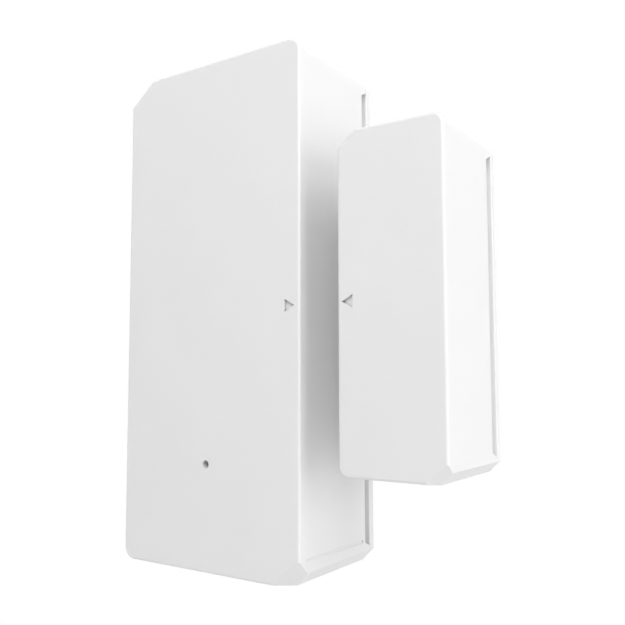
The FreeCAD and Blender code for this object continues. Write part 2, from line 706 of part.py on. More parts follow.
CONTROLLER_PLACE = (-3.0, 4.0)
CONTROLLER_SIZE = 5.0
CONTROLLER_HEIGHT = 0.85
CRYSTAL_PLACE = (-3.0, -2.4)
CRYSTAL_SIZE = (3.2, 0.8, 2.5)


def controller_chip():
    x, z = CONTROLLER_PLACE
    chip = centred_block((x, BOARD_FRONT_Y - CONTROLLER_HEIGHT / 2, z),
                         (CONTROLLER_SIZE, CONTROLLER_HEIGHT, CONTROLLER_SIZE))
    dot = rod_y(x - 1.8, z + 1.8, 0.3, BOARD_FRONT_Y - CONTROLLER_HEIGHT - 1,
                BOARD_FRONT_Y - CONTROLLER_HEIGHT + 0.1)
    return chip.cut(dot)


def crystal_can():
    x, z = CRYSTAL_PLACE
    can = centred_block((x, BOARD_FRONT_Y - CRYSTAL_SIZE[1] / 2, z), CRYSTAL_SIZE)
    return can.makeFillet(0.25, [edge for edge in can.Edges
                                 if edge.BoundBox.YMin < BOARD_FRONT_Y - 0.1])


def chip_row(start, step, count, size):
    """Row of equal chip parts on the board's front."""
    return [centred_block((start[0] + i * step[0], BOARD_FRONT_Y - size[1] / 2,
                           start[1] + i * step[1]), size) for i in range(count)]


def chip_capacitors():
    size = (0.8, 0.8, 1.6)
    rows = chip_row((-7.5, 6.0), (0, -2.4), 4, size)
    rows += chip_row((2.0, 10.0), (1.6, 0), 4, size)
    return Part.makeCompound(rows)


def chip_resistors():
    size = (0.8, 0.45, 1.6)
    rows = chip_row((-6.0, -8.0), (1.6, 0), 5, size)
    rows += chip_row((3.0, -17.0), (1.6, 0), 3, size)
    return Part.makeCompound(rows)


RESERVOIR_PLACE = (-6.7, -29.6)
RESERVOIR_RADIUS = 2.5
RESERVOIR_HEIGHT = 5.4
RESERVOIR_BASE = 0.8


def reservoir_base():
    """Square plastic foot of the reservoir capacitor."""
    x, z = RESERVOIR_PLACE
    side = 2 * RESERVOIR_RADIUS + 0.2
    base = centred_block((x, BOARD_BACK_Y + RESERVOIR_BASE / 2, z), (side, RESERVOIR_BASE, side))
    bevelled = [edge for edge in base.Edges
                if edge.BoundBox.YLength > RESERVOIR_BASE / 2 and edge.BoundBox.XMax > x]
    return base.makeChamfer(0.8, bevelled)


def reservoir_can():
    """Aluminium can with a rolled bead near its foot and scored top."""
    x, z = RESERVOIR_PLACE
    low = BOARD_BACK_Y + RESERVOIR_BASE
    high = BOARD_BACK_Y + RESERVOIR_HEIGHT
    can = rod_y(x, z, RESERVOIR_RADIUS, low, high)
    can = can.makeFillet(0.35, edges_at_y(can, high))
    bead = Part.makeTorus(RESERVOIR_RADIUS + 0.15, 0.35, Vector(x, low + 1.0, z), Vector(0, 1, 0))
    scores = [centred_block((x, high, z), (3.2, 0.2, 0.15)), centred_block((x, high, z), (0.15, 0.2, 3.2))]
    return cut_all(can, [bead] + scores)


# --- magnet unit --------------------------------------------------------------------------------
MAGNET_BAR = (6.0, 5.0, 30.0)
MAGNET_CLEARANCE = 0.1
CRADLE_WALL = 0.9
CRADLE_DEPTH = 4.0
CUSHION_THICKNESS = 1.5
MAGNET_FRONT_Y = INNER_FRONT_Y
MAGNET_BACK_Y = MAGNET_FRONT_Y + MAGNET_BAR[1]
CUSHION_BACK_Y = MAGNET_BACK_Y + CUSHION_THICKNESS
CUSHION_LENGTH = 24.0
PRESS_POST_GAP = 0.05
PRESS_POST_Z = 9.0         # places of the two posts, above and below the middle
PRESS_POST_WIDTH = 4.0
PRESS_SPINE_HEIGHT = 3.0   # of the rib that joins the posts
PRESS_RIB_THICKNESS = 1.2  # of the posts and of the rib


def magnet_shell():
    """Front shell with a cradle for the bar magnet."""
    shell = hollow_shell(MAGNET, MAGNET_HOOK_Z)
    half_x = MAGNET_BAR[0] / 2 + MAGNET_CLEARANCE
    half_z = MAGNET_BAR[2] / 2 + MAGNET_CLEARANCE
    x = MAGNET.centre_x
    cradle = block((x - half_x - CRADLE_WALL, x + half_x + CRADLE_WALL),
                   (INNER_FRONT_Y - 0.2, INNER_FRONT_Y + CRADLE_DEPTH),
                   (-half_z - CRADLE_WALL, half_z + CRADLE_WALL))
    inner = block((x - half_x, x + half_x), (INNER_FRONT_Y, INNER_FRONT_Y + CRADLE_DEPTH + 1),
                  (-half_z, half_z))
    relief = block((x - half_x - 2, x + half_x + 2), (INNER_FRONT_Y, INNER_FRONT_Y + CRADLE_DEPTH + 1),
                   (-half_z + 5, half_z - 5))
    shell = fuse_all([shell, cradle.cut(inner).cut(relief)])
    return shell.cut(alignment_mark(MAGNET.left() + MAGNET_MARK_INSET, -1))


def magnet_cover():
    """Back cover with two posts that press on the cushion."""
    cover = back_cover(MAGNET)
    post_back = MAGNET.band_y + 0.1
    post_front = CUSHION_BACK_Y + PRESS_POST_GAP
    half_wide = PRESS_POST_WIDTH / 2
    half_thin = PRESS_RIB_THICKNESS / 2
    x = MAGNET.centre_x
    posts = [block((x - half_wide, x + half_wide), (post_front, post_back),
                   (z - half_thin, z + half_thin)) for z in (-PRESS_POST_Z, PRESS_POST_Z)]
    spine = block((x - half_thin, x + half_thin),
                  (MAGNET.band_y - PRESS_SPINE_HEIGHT, post_back), (-PRESS_POST_Z, PRESS_POST_Z))
    return fuse_all([cover, spine] + posts)


def bar_magnet():
    centre = (MAGNET.centre_x, (MAGNET_FRONT_Y + MAGNET_BACK_Y) / 2, 0)
    bar = centred_block(centre, MAGNET_BAR)
    return bar.makeChamfer(0.3, bar.Edges)


def magnet_cushion():
    centre = (MAGNET.centre_x, MAGNET_BACK_Y + CUSHION_THICKNESS / 2, 0)
    return centred_block(centre, (MAGNET_BAR[0] - 0.6, CUSHION_THICKNESS, CUSHION_LENGTH))


# --- build and write ------------------------------------------------------------------------------
def build():
    """Every node of the part, by name."""
    left_core, left_can, left_sleeve = cell(-CELL_PITCH / 2, 1)
    right_core, right_can, right_sleeve = cell(CELL_PITCH / 2, -1)
    spring_low_z = CONTACT_BOTTOM_Z + PLATE_THICKNESS
    spring_high_z = CONTACT_TOP_Z - PLATE_THICKNESS
    return {
        "sensor_shell": sensor_shell(),
        "sensor_cover": sensor_cover(),
        "sensor_cover_hooks": Part.makeCompound(all_hooks(SENSOR, SENSOR_HOOK_Z, hook)),
        "sensor_adhesive_pad": adhesive_pad(SENSOR),
        "main_board": main_board(),
        "board_screws": Part.makeCompound([board_screw(x, z) for x, z in SCREW_PLACES]),
        "battery_tray": battery_tray(),
        "left_cell_core": left_core,
        "left_cell_can": left_can,
        "left_cell_sleeve": left_sleeve,
        "right_cell_core": right_core,
        "right_cell_can": right_can,
        "right_cell_sleeve": right_sleeve,
        "link_contact": link_contact(),
        "link_spring": coil_spring(CELL_PITCH / 2, spring_high_z - SPRING_LENGTH, spring_high_z, False),
        "negative_contact": bottom_contact(-1),
        "negative_spring": coil_spring(-CELL_PITCH / 2, spring_low_z, spring_low_z + SPRING_LENGTH, True),
        "positive_contact": bottom_contact(1),
        "reed_glass": reed_glass(),
        "reed_fixed_blade": reed_fixed_blade(),
        "reed_upper_lead": reed_lead(1, BORE_END_Z),
        "reed_moving_blade": reed_moving_blade(),
        "led_body": led_body(),
        "led_lens": led_lens(),
        "button_body": button_body(),
        "button_cover": button_cover(),
        "button_plunger": button_plunger(),
        "controller_chip": controller_chip(),
        "crystal_can": crystal_can(),
        "chip_capacitors": chip_capacitors(),
        "chip_resistors": chip_resistors(),
        "reservoir_base": reservoir_base(),
        "reservoir_can": reservoir_can(),
        "radio_board": radio_board(),
        "radio_shield": radio_shield(),
        "radio_chip": radio_chip(),
        "antenna_trace": antenna_trace(),
        "magnet_shell": magnet_shell(),
        "magnet_cover": magnet_cover(),
        "magnet_cover_hooks": Part.makeCompound(all_hooks(MAGNET, MAGNET_HOOK_Z, hook)),
        "magnet_adhesive_pad": adhesive_pad(MAGNET),
        "bar_magnet": bar_magnet(),
        "magnet_cushion": magnet_cushion(),
    }


def main():
    os.makedirs("parts", exist_ok=True)
    for node, shape in build().items():
        solids = shape.Solids
        if not shape.isValid() or not solids:
            raise RuntimeError(node + " is not a valid solid")
        shape.exportStep("parts/" + node + ".step")
        print(node, len(solids), "solids", round(shape.Volume, 2), "mm3")


main()
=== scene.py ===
import logging
import math
from collections.abc import Sequence
from dataclasses import dataclass
from enum import Enum

import bmesh
import bpy
from mathutils import Matrix, Vector, noise


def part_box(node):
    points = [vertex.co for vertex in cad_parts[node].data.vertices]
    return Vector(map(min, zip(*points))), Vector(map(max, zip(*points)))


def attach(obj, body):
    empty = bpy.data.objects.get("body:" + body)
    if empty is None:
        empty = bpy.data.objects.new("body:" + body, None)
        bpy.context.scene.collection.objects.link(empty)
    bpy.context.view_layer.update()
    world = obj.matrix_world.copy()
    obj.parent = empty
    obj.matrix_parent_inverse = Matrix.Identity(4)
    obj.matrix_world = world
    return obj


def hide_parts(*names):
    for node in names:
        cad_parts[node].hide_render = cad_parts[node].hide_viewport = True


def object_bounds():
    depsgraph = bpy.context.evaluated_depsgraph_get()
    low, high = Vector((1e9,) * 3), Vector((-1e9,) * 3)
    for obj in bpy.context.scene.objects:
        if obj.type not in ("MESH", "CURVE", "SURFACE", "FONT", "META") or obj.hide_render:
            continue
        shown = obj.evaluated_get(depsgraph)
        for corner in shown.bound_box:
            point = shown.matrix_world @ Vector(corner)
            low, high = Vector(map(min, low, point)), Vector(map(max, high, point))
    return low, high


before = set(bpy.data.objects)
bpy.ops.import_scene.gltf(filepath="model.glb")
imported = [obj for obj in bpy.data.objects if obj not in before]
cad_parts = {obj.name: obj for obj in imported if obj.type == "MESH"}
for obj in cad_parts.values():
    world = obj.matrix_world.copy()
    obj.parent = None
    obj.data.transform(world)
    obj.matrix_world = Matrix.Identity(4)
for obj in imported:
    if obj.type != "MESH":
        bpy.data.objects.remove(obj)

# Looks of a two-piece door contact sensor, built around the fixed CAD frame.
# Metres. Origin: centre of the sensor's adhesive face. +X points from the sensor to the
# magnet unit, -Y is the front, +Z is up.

CAD_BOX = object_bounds()
LOG = logging.getLogger("door_contact_sensor")

MM = 0.001
Colour = tuple[float, float, float]
Point2 = tuple[float, float]
Point3 = tuple[float, float, float]
BACKWARDS = Vector((0, 1, 0))
RIM = 0.05 * MM                # how far the rim of a solder pad is drawn in
WHITE = (1.0, 1.0, 1.0)


class Body(Enum):
    """The moving bodies that pieces ride on."""

    SENSOR_BASE = "sensor_base"
    SENSOR_HOUSING = "sensor_housing"
    MAGNET_BASE = "magnet_base"
    MAGNET_HOUSING = "magnet_housing"


class Side(Enum):
    """Which of the board's two faces a detail lies on."""

    FRONT = -1
    BACK = 1


class Polarity(Enum):
    """Which way up a cell stands."""

    NUB_UP = 1
    NUB_DOWN = -1


class Effect(Enum):
    """Shader effects that several finishes share."""

    MOULD_GRAIN = "mould_grain"
    EDGE_WEAR_AND_HIGHLIGHT = "edge_wear_and_highlight"
    SETTLED_DUST = "settled_dust"
    DRAWN_LINES = "drawn_lines"
    FOAM_CELLS = "foam_cells"
    GLASS_WEAVE = "glass_weave"
    SOFT_EDGES = "soft_edges"
    CREVICE_SHADE = "crevice_shade"


# --- node helpers -----------------------------------------------------------------------------
class Graph:
    """A node tree with short ways to add nodes and join their sockets."""

    def __init__(self, tree: bpy.types.NodeTree) -> None:
        """Wrap a node tree.

        Args:
            tree: the tree that nodes are added to.
        """
        self.tree = tree

    def feed(self, socket: bpy.types.NodeSocket, value: object) -> None:
        """Link a socket, or set its plain value.

        Args:
            socket: the input that takes the value.
            value: another node's output, a number, or a sequence of numbers.
        """
        if isinstance(value, bpy.types.NodeSocket):
            self.tree.links.new(value, socket)
        elif socket.type == "RGBA" and isinstance(value, Sequence) and len(value) == 3:
            socket.default_value = (*value, 1.0)
        else:
            socket.default_value = value

    def add(self, kind: str, inputs: dict | None = None, **settings: object) -> bpy.types.Node:
        """Add one node.

        Args:
            kind: Blender's name for the node type.
            inputs: values or outputs for its input sockets, by name or index.
            **settings: the node's own properties.

        Returns:
            The new node.
        """
        node = self.tree.nodes.new(kind)
        for name, value in settings.items():
            setattr(node, name, value)
        for key, value in (inputs or {}).items():
            self.feed(node.inputs[key], value)
        return node

    def math(self, operation: str, *values: object, clamp: bool = False) -> bpy.types.NodeSocket:
        """Add a Math node.

        Args:
            operation: Blender's name for the operation.
            *values: its operands, in order.
            clamp: keep the result between 0 and 1.

        Returns:
            The result's socket.
        """
        node = self.add("ShaderNodeMath", dict(enumerate(values)), operation=operation, use_clamp=clamp)
        return node.outputs[0]

    def blend(self, factor: object, first: object, second: object) -> bpy.types.NodeSocket:
        """Mix two colours.

        Args:
            factor: share of the second colour.
            first: colour at factor 0.
            second: colour at factor 1.

        Returns:
            The mixed colour's socket.
        """
        node = self.add("ShaderNodeMix", data_type="RGBA")
        for index, value in ((0, factor), (6, first), (7, second)):
            self.feed(node.inputs[index], value)
        return node.outputs[2]

    def remap(self, value: object, source: Point2, target: Point2) -> bpy.types.NodeSocket:
        """Map a value from one range to another, clamped.

        Args:
            value: the value to map.
            source: its range.
            target: the range wanted.

        Returns:
            The mapped value's socket.
        """
        limits = {0: value, 1: source[0], 2: source[1], 3: target[0], 4: target[1]}
        return self.add("ShaderNodeMapRange", limits).outputs[0]

    def noise(self, place: object, size: object, detail: float = 2.0) -> bpy.types.NodeSocket:
        """Add a noise texture.

        Args:
            place: coordinates in metres.
            size: size of its features, in metres.
            detail: octaves.

        Returns:
            The noise value's socket.
        """
        scale = self.math("DIVIDE", 1.0, size) if isinstance(size, bpy.types.NodeSocket) else 1.0 / size
        return self.add("ShaderNodeTexNoise", {"Vector": place, "Scale": scale, "Detail": detail}).outputs[0]

    def object_place(self) -> bpy.types.NodeSocket:
        """Give the object's own coordinates, in metres."""
        return self.add("ShaderNodeTexCoord").outputs["Object"]

    def split_rays(self, light: object, seen: object) -> bpy.types.NodeSocket:
        """Show one shader to the camera and another to all other rays.

        Args:
            light: the shader that lights the scene.
            seen: the shader that the camera sees.

        Returns:
            The joined shader's socket.
        """
        path = self.add("ShaderNodeLightPath")
        mixed = self.add("ShaderNodeMixShader", {0: path.outputs["Is Camera Ray"], 1: light, 2: seen})
        return mixed.outputs[0]


BEVEL_SAMPLES = 4
CREVICE_SAMPLES = 6
NOISE_MIDDLE = (0.3, 0.7)      # the range where most of a noise texture's values lie


class EffectLibrary:
    """Builds each shared effect once, as a node group, and hands it out."""

    def __init__(self) -> None:
        """Start with no group built."""
        self.groups: dict[Effect, bpy.types.NodeTree] = {}

    def place(self, graph: Graph, effect: Effect, inputs: dict) -> bpy.types.Node:
        """Place an effect in a material.

        Args:
            graph: the material's nodes.
            effect: which effect.
            inputs: values for the group's named inputs.

        Returns:
            The group's node, whose outputs carry the effect.
        """
        if effect not in self.groups:
            self.groups[effect] = getattr(self, "build_" + effect.value)()
        node = graph.add("ShaderNodeGroup", node_tree=self.groups[effect])
        for name, value in inputs.items():
            graph.feed(node.inputs[name], value)
        return node

    @staticmethod
    def start(effect: Effect, inputs: dict[str, float], outputs: dict[str, str]) -> tuple:
        """Open a new group with its sockets.

        Args:
            effect: the effect that names the group.
            inputs: number inputs with their defaults.
            outputs: outputs with their socket kinds.

        Returns:
            The group's graph, its input node and its output node.
        """
        tree = bpy.data.node_groups.new(effect.value, "ShaderNodeTree")
        for name, default in inputs.items():
            socket = tree.interface.new_socket(name, in_out="INPUT", socket_type="NodeSocketFloat")
            socket.default_value = default
        for name, kind in outputs.items():
            tree.interface.new_socket(name, in_out="OUTPUT", socket_type=kind)
        graph = Graph(tree)
        return graph, graph.add("NodeGroupInput"), graph.add("NodeGroupOutput")

    def build_mould_grain(self) -> bpy.types.NodeTree:
        """Build the fine spark-eroded grain of moulded parts.

        Returns:
            A group with inputs Size and Patch, and outputs Height and Tone.
        """
        sockets = {"Height": "NodeSocketFloat", "Tone": "NodeSocketFloat"}
        graph, source, sink = self.start(Effect.MOULD_GRAIN, {"Size": 0.1 * MM, "Patch": 8 * MM}, sockets)
        place = graph.object_place()
        fine_share = 0.65
        coarse_scale = 4.0
        fine = graph.noise(place, source.outputs["Size"], 3.0)
        coarse = graph.noise(place, graph.math("MULTIPLY", source.outputs["Size"], coarse_scale), 2.0)
        height = graph.math("ADD", graph.math("MULTIPLY", fine, fine_share),
                            graph.math("MULTIPLY", coarse, 1 - fine_share))
        tone = graph.remap(graph.noise(place, source.outputs["Patch"], 3.0), NOISE_MIDDLE, (0.0, 1.0))
        graph.feed(sink.inputs["Height"], height)
        graph.feed(sink.inputs["Tone"], tone)
        return graph.tree

    def build_edge_wear_and_highlight(self) -> bpy.types.NodeTree:
        """Build a mask that is 1 along sharp edges, broken up by noise, for wear and for painted highlights.

        Returns:
            A group with inputs Width and Break Up, and output Mask.
        """
        outputs = {"Mask": "NodeSocketFloat"}
        graph, source, sink = self.start(Effect.EDGE_WEAR_AND_HIGHLIGHT, {"Width": 0.3 * MM, "Break Up": 0.5}, outputs)
        rounded = graph.add("ShaderNodeBevel", {"Radius": source.outputs["Width"]}, samples=BEVEL_SAMPLES)
        flat = graph.add("ShaderNodeNewGeometry").outputs["Normal"]
        match = graph.add("ShaderNodeVectorMath", {0: rounded.outputs[0], 1: flat}, operation="DOT_PRODUCT")
        flat_match, edge_match = 0.995, 0.85
        edge = graph.remap(match.outputs["Value"], (flat_match, edge_match), (0.0, 1.0))
        patches = graph.noise(graph.object_place(), 1.8 * MM, 4.0)
        floor = graph.math("SUBTRACT", 1.0, source.outputs["Break Up"])
        worn = graph.math("ADD", floor, graph.math("MULTIPLY", patches, source.outputs["Break Up"]))
        graph.feed(sink.inputs["Mask"], graph.math("MULTIPLY", edge, worn, clamp=True))
        return graph.tree

    def build_settled_dust(self) -> bpy.types.NodeTree:
        """Build a mask of light dust on faces that look up.

        Returns:
            A group with input Amount and output Mask.
        """
        outputs = {"Mask": "NodeSocketFloat"}
        graph, source, sink = self.start(Effect.SETTLED_DUST, {"Amount": 0.3}, outputs)
        normal = graph.add("ShaderNodeNewGeometry").outputs["Normal"]
        up = graph.add("ShaderNodeSeparateXYZ", {0: normal}).outputs["Z"]
        facing = graph.remap(up, (0.3, 1.0), (0.0, 1.0))
        flecks = graph.remap(graph.noise(graph.object_place(), 0.6 * MM, 6.0), (0.42, 0.7), (0.0, 1.0))
        mask = graph.math("MULTIPLY", graph.math("MULTIPLY", facing, flecks), source.outputs["Amount"])
        graph.feed(sink.inputs["Mask"], mask)
        return graph.tree

    def build_drawn_lines(self) -> bpy.types.NodeTree:
        """Build the fine parallel lines of drawn or rolled metal.

        Returns:
            A group with inputs Pitch, Stretch X, Stretch Y and Stretch Z, and outputs Height and Tone.
        """
        inputs = {"Pitch": 0.08 * MM, "Stretch X": 1.0, "Stretch Y": 1.0, "Stretch Z": 0.04}
        sockets = {"Height": "NodeSocketFloat", "Tone": "NodeSocketFloat"}
        graph, source, sink = self.start(Effect.DRAWN_LINES, inputs, sockets)
        place = graph.object_place()
        stretch = graph.add("ShaderNodeCombineXYZ", {
            "X": source.outputs["Stretch X"],
            "Y": source.outputs["Stretch Y"],
            "Z": source.outputs["Stretch Z"],
        })
        moved = graph.add("ShaderNodeVectorMath", {0: place, 1: stretch.outputs[0]}, operation="MULTIPLY")
        lines = graph.noise(moved.outputs[0], source.outputs["Pitch"], 2.0)
        patches = graph.noise(place, 2.5 * MM, 3.0)
        graph.feed(sink.inputs["Height"], lines)
        graph.feed(sink.inputs["Tone"], graph.remap(patches, NOISE_MIDDLE, (0.0, 1.0)))
        return graph.tree

    def build_foam_cells(self) -> bpy.types.NodeTree:
        """Build the open cells of cut foam, with a mask of painted shade for the pores.

        Returns:
            A group with input Size, and outputs Height and Pores.
        """
        sockets = {"Height": "NodeSocketFloat", "Pore Shade": "NodeSocketFloat"}
        graph, source, sink = self.start(Effect.FOAM_CELLS, {"Size": 0.2 * MM}, sockets)
        place = graph.object_place()
        scale = graph.math("DIVIDE", 1.0, source.outputs["Size"])
        cells = graph.add("ShaderNodeTexVoronoi", {"Vector": place, "Scale": scale}).outputs["Distance"]
        pore_shade = graph.remap(cells, (0.1, 0.45), (1.0, 0.0))
        graph.feed(sink.inputs["Height"], cells)
        graph.feed(sink.inputs["Pore Shade"], pore_shade)
        return graph.tree

    def build_glass_weave(self) -> bpy.types.NodeTree:
        """Build the faint woven glass cloth under a board's mask.

        Returns:
            A group with input Pitch, and outputs Height and Weave.
        """
        sockets = {"Height": "NodeSocketFloat", "Weave": "NodeSocketFloat"}
        graph, source, sink = self.start(Effect.GLASS_WEAVE, {"Pitch": 0.5 * MM}, sockets)
        place = graph.object_place()
        parts = graph.add("ShaderNodeSeparateXYZ", {0: place})
        turns = graph.math("DIVIDE", 2 * math.pi, source.outputs["Pitch"])
        warp = graph.math("SINE", graph.math("MULTIPLY", parts.outputs["X"], turns))
        weft = graph.math("SINE", graph.math("MULTIPLY", parts.outputs["Z"], turns))
        weave = graph.remap(graph.math("MULTIPLY", warp, weft), (-1.0, 1.0), (0.0, 1.0))
        graph.feed(sink.inputs["Height"], weave)
        graph.feed(sink.inputs["Weave"], weave)
        return graph.tree

    def build_soft_edges(self) -> bpy.types.NodeTree:
        """Build a normal that rolls over sharp edges.

        Returns:
            A group with input Radius and output Normal.
        """
        outputs = {"Normal": "NodeSocketVector"}
        graph, source, sink = self.start(Effect.SOFT_EDGES, {"Radius": 0.1 * MM}, outputs)
        rounded = graph.add("ShaderNodeBevel", {"Radius": source.outputs["Radius"]}, samples=BEVEL_SAMPLES)
        graph.feed(sink.inputs["Normal"], rounded.outputs[0])
        return graph.tree

    def build_crevice_shade(self) -> bpy.types.NodeTree:
        """Build a mask of painted shade, 1 deep in narrow corners and 0 on open faces.

        Returns:
            A group with input Reach and output Mask.
        """
        outputs = {"Mask": "NodeSocketFloat"}
        graph, source, sink = self.start(Effect.CREVICE_SHADE, {"Reach": 0.3 * MM}, outputs)
        hidden = graph.add("ShaderNodeAmbientOcclusion", {"Distance": source.outputs["Reach"]},
                           samples=CREVICE_SAMPLES, only_local=True)
        open_face, narrow_corner = 0.85, 0.35
        mask = graph.remap(hidden.outputs["AO"], (open_face, narrow_corner), (0.0, 1.0))
        graph.feed(sink.inputs["Mask"], mask)
        return graph.tree


# --- finishes ---------------------------------------------------------------------------------
@dataclass(frozen=True)
class Finish:
    """One surface finish. Lengths are in millimetres."""

    name: str
    colour: Colour
    roughness: float

    def material(self, library: EffectLibrary) -> bpy.types.Material:
        """Build the material.

        Args:
            library: the shared effects.

        Returns:
            The finished material.
        """
        made = bpy.data.materials.new(self.name)
        made.use_nodes = True
        made.node_tree.nodes.clear()
        graph = Graph(made.node_tree)
        shader = graph.add("ShaderNodeBsdfPrincipled",
                           {"Base Color": self.colour, "Roughness": self.roughness})
        output = graph.add("ShaderNodeOutputMaterial")
        graph.feed(output.inputs["Surface"], shader.outputs[0])
        self.dress(graph, shader, library)
        return made

    def dress(self, graph: Graph, shader: bpy.types.Node, library: EffectLibrary) -> None:
        """Add this finish's own detail.

        Args:
            graph: the material's nodes.
            shader: its Principled shader.
            library: the shared effects.
        """
        raise NotImplementedError

    @staticmethod
    def relief(graph: Graph, shader: bpy.types.Node, height: object, depth_mm: float,
               base: object = None) -> None:
        """Feed a height to the shader's normal.

        Args:
            graph: the material's nodes.
            shader: its Principled shader.
            height: the height's socket, 0 to 1.
            depth_mm: how deep that relief is.
            base: a normal to start from, if any.
        """
        inputs = {"Height": height, "Distance": depth_mm * MM, "Strength": 1.0}
        if base is not None:
            inputs["Normal"] = base
        bump = graph.add("ShaderNodeBump", inputs)
        graph.feed(shader.inputs["Normal"], bump.outputs[0])


@dataclass(frozen=True)
class MouldedPlastic(Finish):
    """Satin or matt moulded plastic with a fine eroded grain."""

    shade: Colour = (0.8, 0.8, 0.8)
    grain_mm: float = 0.12
    grain_depth_mm: float = 0.0012
    patch_mm: float = 9.0
    edge_mm: float = 0.12
    edge_colour: Colour = (0.95, 0.95, 0.95)
    edge_share: float = 0.4
    edge_break_up: float = 0.5
    roughness_swing: float = 0.03
    dust: float = 0.05
    dust_colour: Colour = (0.62, 0.6, 0.56)
    sheen: float = 0.5
    # Painted shade: how far, how strongly and how dark narrow corners are darkened.
    crevice_shade_mm: float = 0.4
    crevice_shade_share: float = 0.3
    crevice_shade_colour: Colour = (0.3, 0.3, 0.3)

    def dress(self, graph: Graph, shader: bpy.types.Node, library: EffectLibrary) -> None:
        """Add grain, cloudy tone, lighter edges for wear and for the case's painted highlight, a trace of
        dust and painted shade in narrow corners.

        Args:
            graph: the material's nodes.
            shader: its Principled shader.
            library: the shared effects.
        """
        grain = library.place(graph, Effect.MOULD_GRAIN,
                              {"Size": self.grain_mm * MM, "Patch": self.patch_mm * MM})
        tone = grain.outputs["Tone"]
        colour = graph.blend(tone, self.shade, self.colour)
        # Lighter edges: wear on most moulded parts; on the white case a painted highlight along its edges.
        edges = library.place(graph, Effect.EDGE_WEAR_AND_HIGHLIGHT,
                              {"Width": self.edge_mm * MM, "Break Up": self.edge_break_up})
        edge_wear_and_highlight_part = graph.math("MULTIPLY", edges.outputs["Mask"], self.edge_share)
        colour = graph.blend(edge_wear_and_highlight_part, colour, self.edge_colour)
        dust = library.place(graph, Effect.SETTLED_DUST, {"Amount": self.dust})
        colour = graph.blend(dust.outputs["Mask"], colour, self.dust_colour)
        # Painted shade: an occlusion mask darkens narrow corners, seams and recessed marks towards a grey.
        crevice_shade = library.place(graph, Effect.CREVICE_SHADE, {"Reach": self.crevice_shade_mm * MM})
        painted_crevice_shade = graph.math("MULTIPLY", crevice_shade.outputs["Mask"], self.crevice_shade_share)
        colour = graph.blend(painted_crevice_shade, colour, self.crevice_shade_colour)
        graph.feed(shader.inputs["Base Color"], colour)
        swing = self.roughness_swing
        rough = graph.remap(tone, (0.0, 1.0), (self.roughness - swing, self.roughness + swing))
        graph.feed(shader.inputs["Roughness"], rough)
        shader.inputs["Specular IOR Level"].default_value = self.sheen
        soft = library.place(graph, Effect.SOFT_EDGES, {"Radius": self.edge_mm * MM})
        self.relief(graph, shader, grain.outputs["Height"], self.grain_depth_mm, soft.outputs["Normal"])


@dataclass(frozen=True)
class Metal(Finish):
    """Plated, drawn or rolled metal."""

    tarnish: Colour = (0.4, 0.37, 0.32)
    tarnish_share: float = 0.25
    pitch_mm: float = 0.08
    stretch: Point3 = (1.0, 1.0, 0.05)
    line_depth_mm: float = 0.0008
    edge_mm: float = 0.05
    edge_break_up: float = 0.7
    edge_share: float = 0.6
    edge_gain: float = 1.2

    def dress(self, graph: Graph, shader: bpy.types.Node, library: EffectLibrary) -> None:
        """Add fine lines, cloudy tarnish and bright worn edges.

        Args:
            graph: the material's nodes.
            shader: its Principled shader.
            library: the shared effects.
        """
        shader.inputs["Metallic"].default_value = 1.0
        lines = library.place(graph, Effect.DRAWN_LINES, {
            "Pitch": self.pitch_mm * MM,
            "Stretch X": self.stretch[0],
            "Stretch Y": self.stretch[1],
            "Stretch Z": self.stretch[2],
        })
        share = graph.math("MULTIPLY", lines.outputs["Tone"], self.tarnish_share)
        colour = graph.blend(share, self.colour, self.tarnish)
        edges = library.place(graph, Effect.EDGE_WEAR_AND_HIGHLIGHT,
                              {"Width": self.edge_mm * MM, "Break Up": self.edge_break_up})
        bright = tuple(min(1.0, part * self.edge_gain) for part in self.colour)
        worn = graph.math("MULTIPLY", edges.outputs["Mask"], self.edge_share)
        colour = graph.blend(worn, colour, bright)
        graph.feed(shader.inputs["Base Color"], colour)
        smoothest, roughest = self.roughness - 0.06, self.roughness + 0.1
        rough = graph.remap(lines.outputs["Height"], NOISE_MIDDLE, (smoothest, roughest))
        graph.feed(shader.inputs["Roughness"], rough)
        self.relief(graph, shader, lines.outputs["Height"], self.line_depth_mm)


@dataclass(frozen=True)
class SolderMask(Finish):
    """Glossy mask over woven laminate."""

    deep: Colour = (0.01, 0.08, 0.03)
    weave_mm: float = 0.5
    weave_share: float = 0.35
    flow_share: float = 0.3
    edge_colour: Colour = (0.42, 0.4, 0.24)
    coat: float = 0.3
    depth_mm: float = 0.004

    def dress(self, graph: Graph, shader: bpy.types.Node, library: EffectLibrary) -> None:
        """Add the glass weave and the mask's uneven flow.

        Args:
            graph: the material's nodes.
            shader: its Principled shader.
            library: the shared effects.
        """
        weave = library.place(graph, Effect.GLASS_WEAVE, {"Pitch": self.weave_mm * MM})
        flow = library.place(graph, Effect.MOULD_GRAIN, {"Size": 0.4 * MM, "Patch": 5 * MM})
        share = graph.math("MULTIPLY", weave.outputs["Weave"], self.weave_share)
        colour = graph.blend(share, self.colour, self.deep)
        share = graph.math("MULTIPLY", flow.outputs["Tone"], self.flow_share)
        colour = graph.blend(share, colour, self.deep)
        edges = library.place(graph, Effect.EDGE_WEAR_AND_HIGHLIGHT, {"Width": 0.12 * MM, "Break Up": 0.6})
        colour = graph.blend(edges.outputs["Mask"], colour, self.edge_colour)
        graph.feed(shader.inputs["Base Color"], colour)
        rough = graph.remap(flow.outputs["Tone"], (0.0, 1.0), (self.roughness, self.roughness + 0.12))
        graph.feed(shader.inputs["Roughness"], rough)
        shader.inputs["Coat Weight"].default_value = self.coat
        woven = graph.math("MULTIPLY", weave.outputs["Height"], 0.3)
        height = graph.math("ADD", woven, flow.outputs["Height"])
        self.relief(graph, shader, height, self.depth_mm)


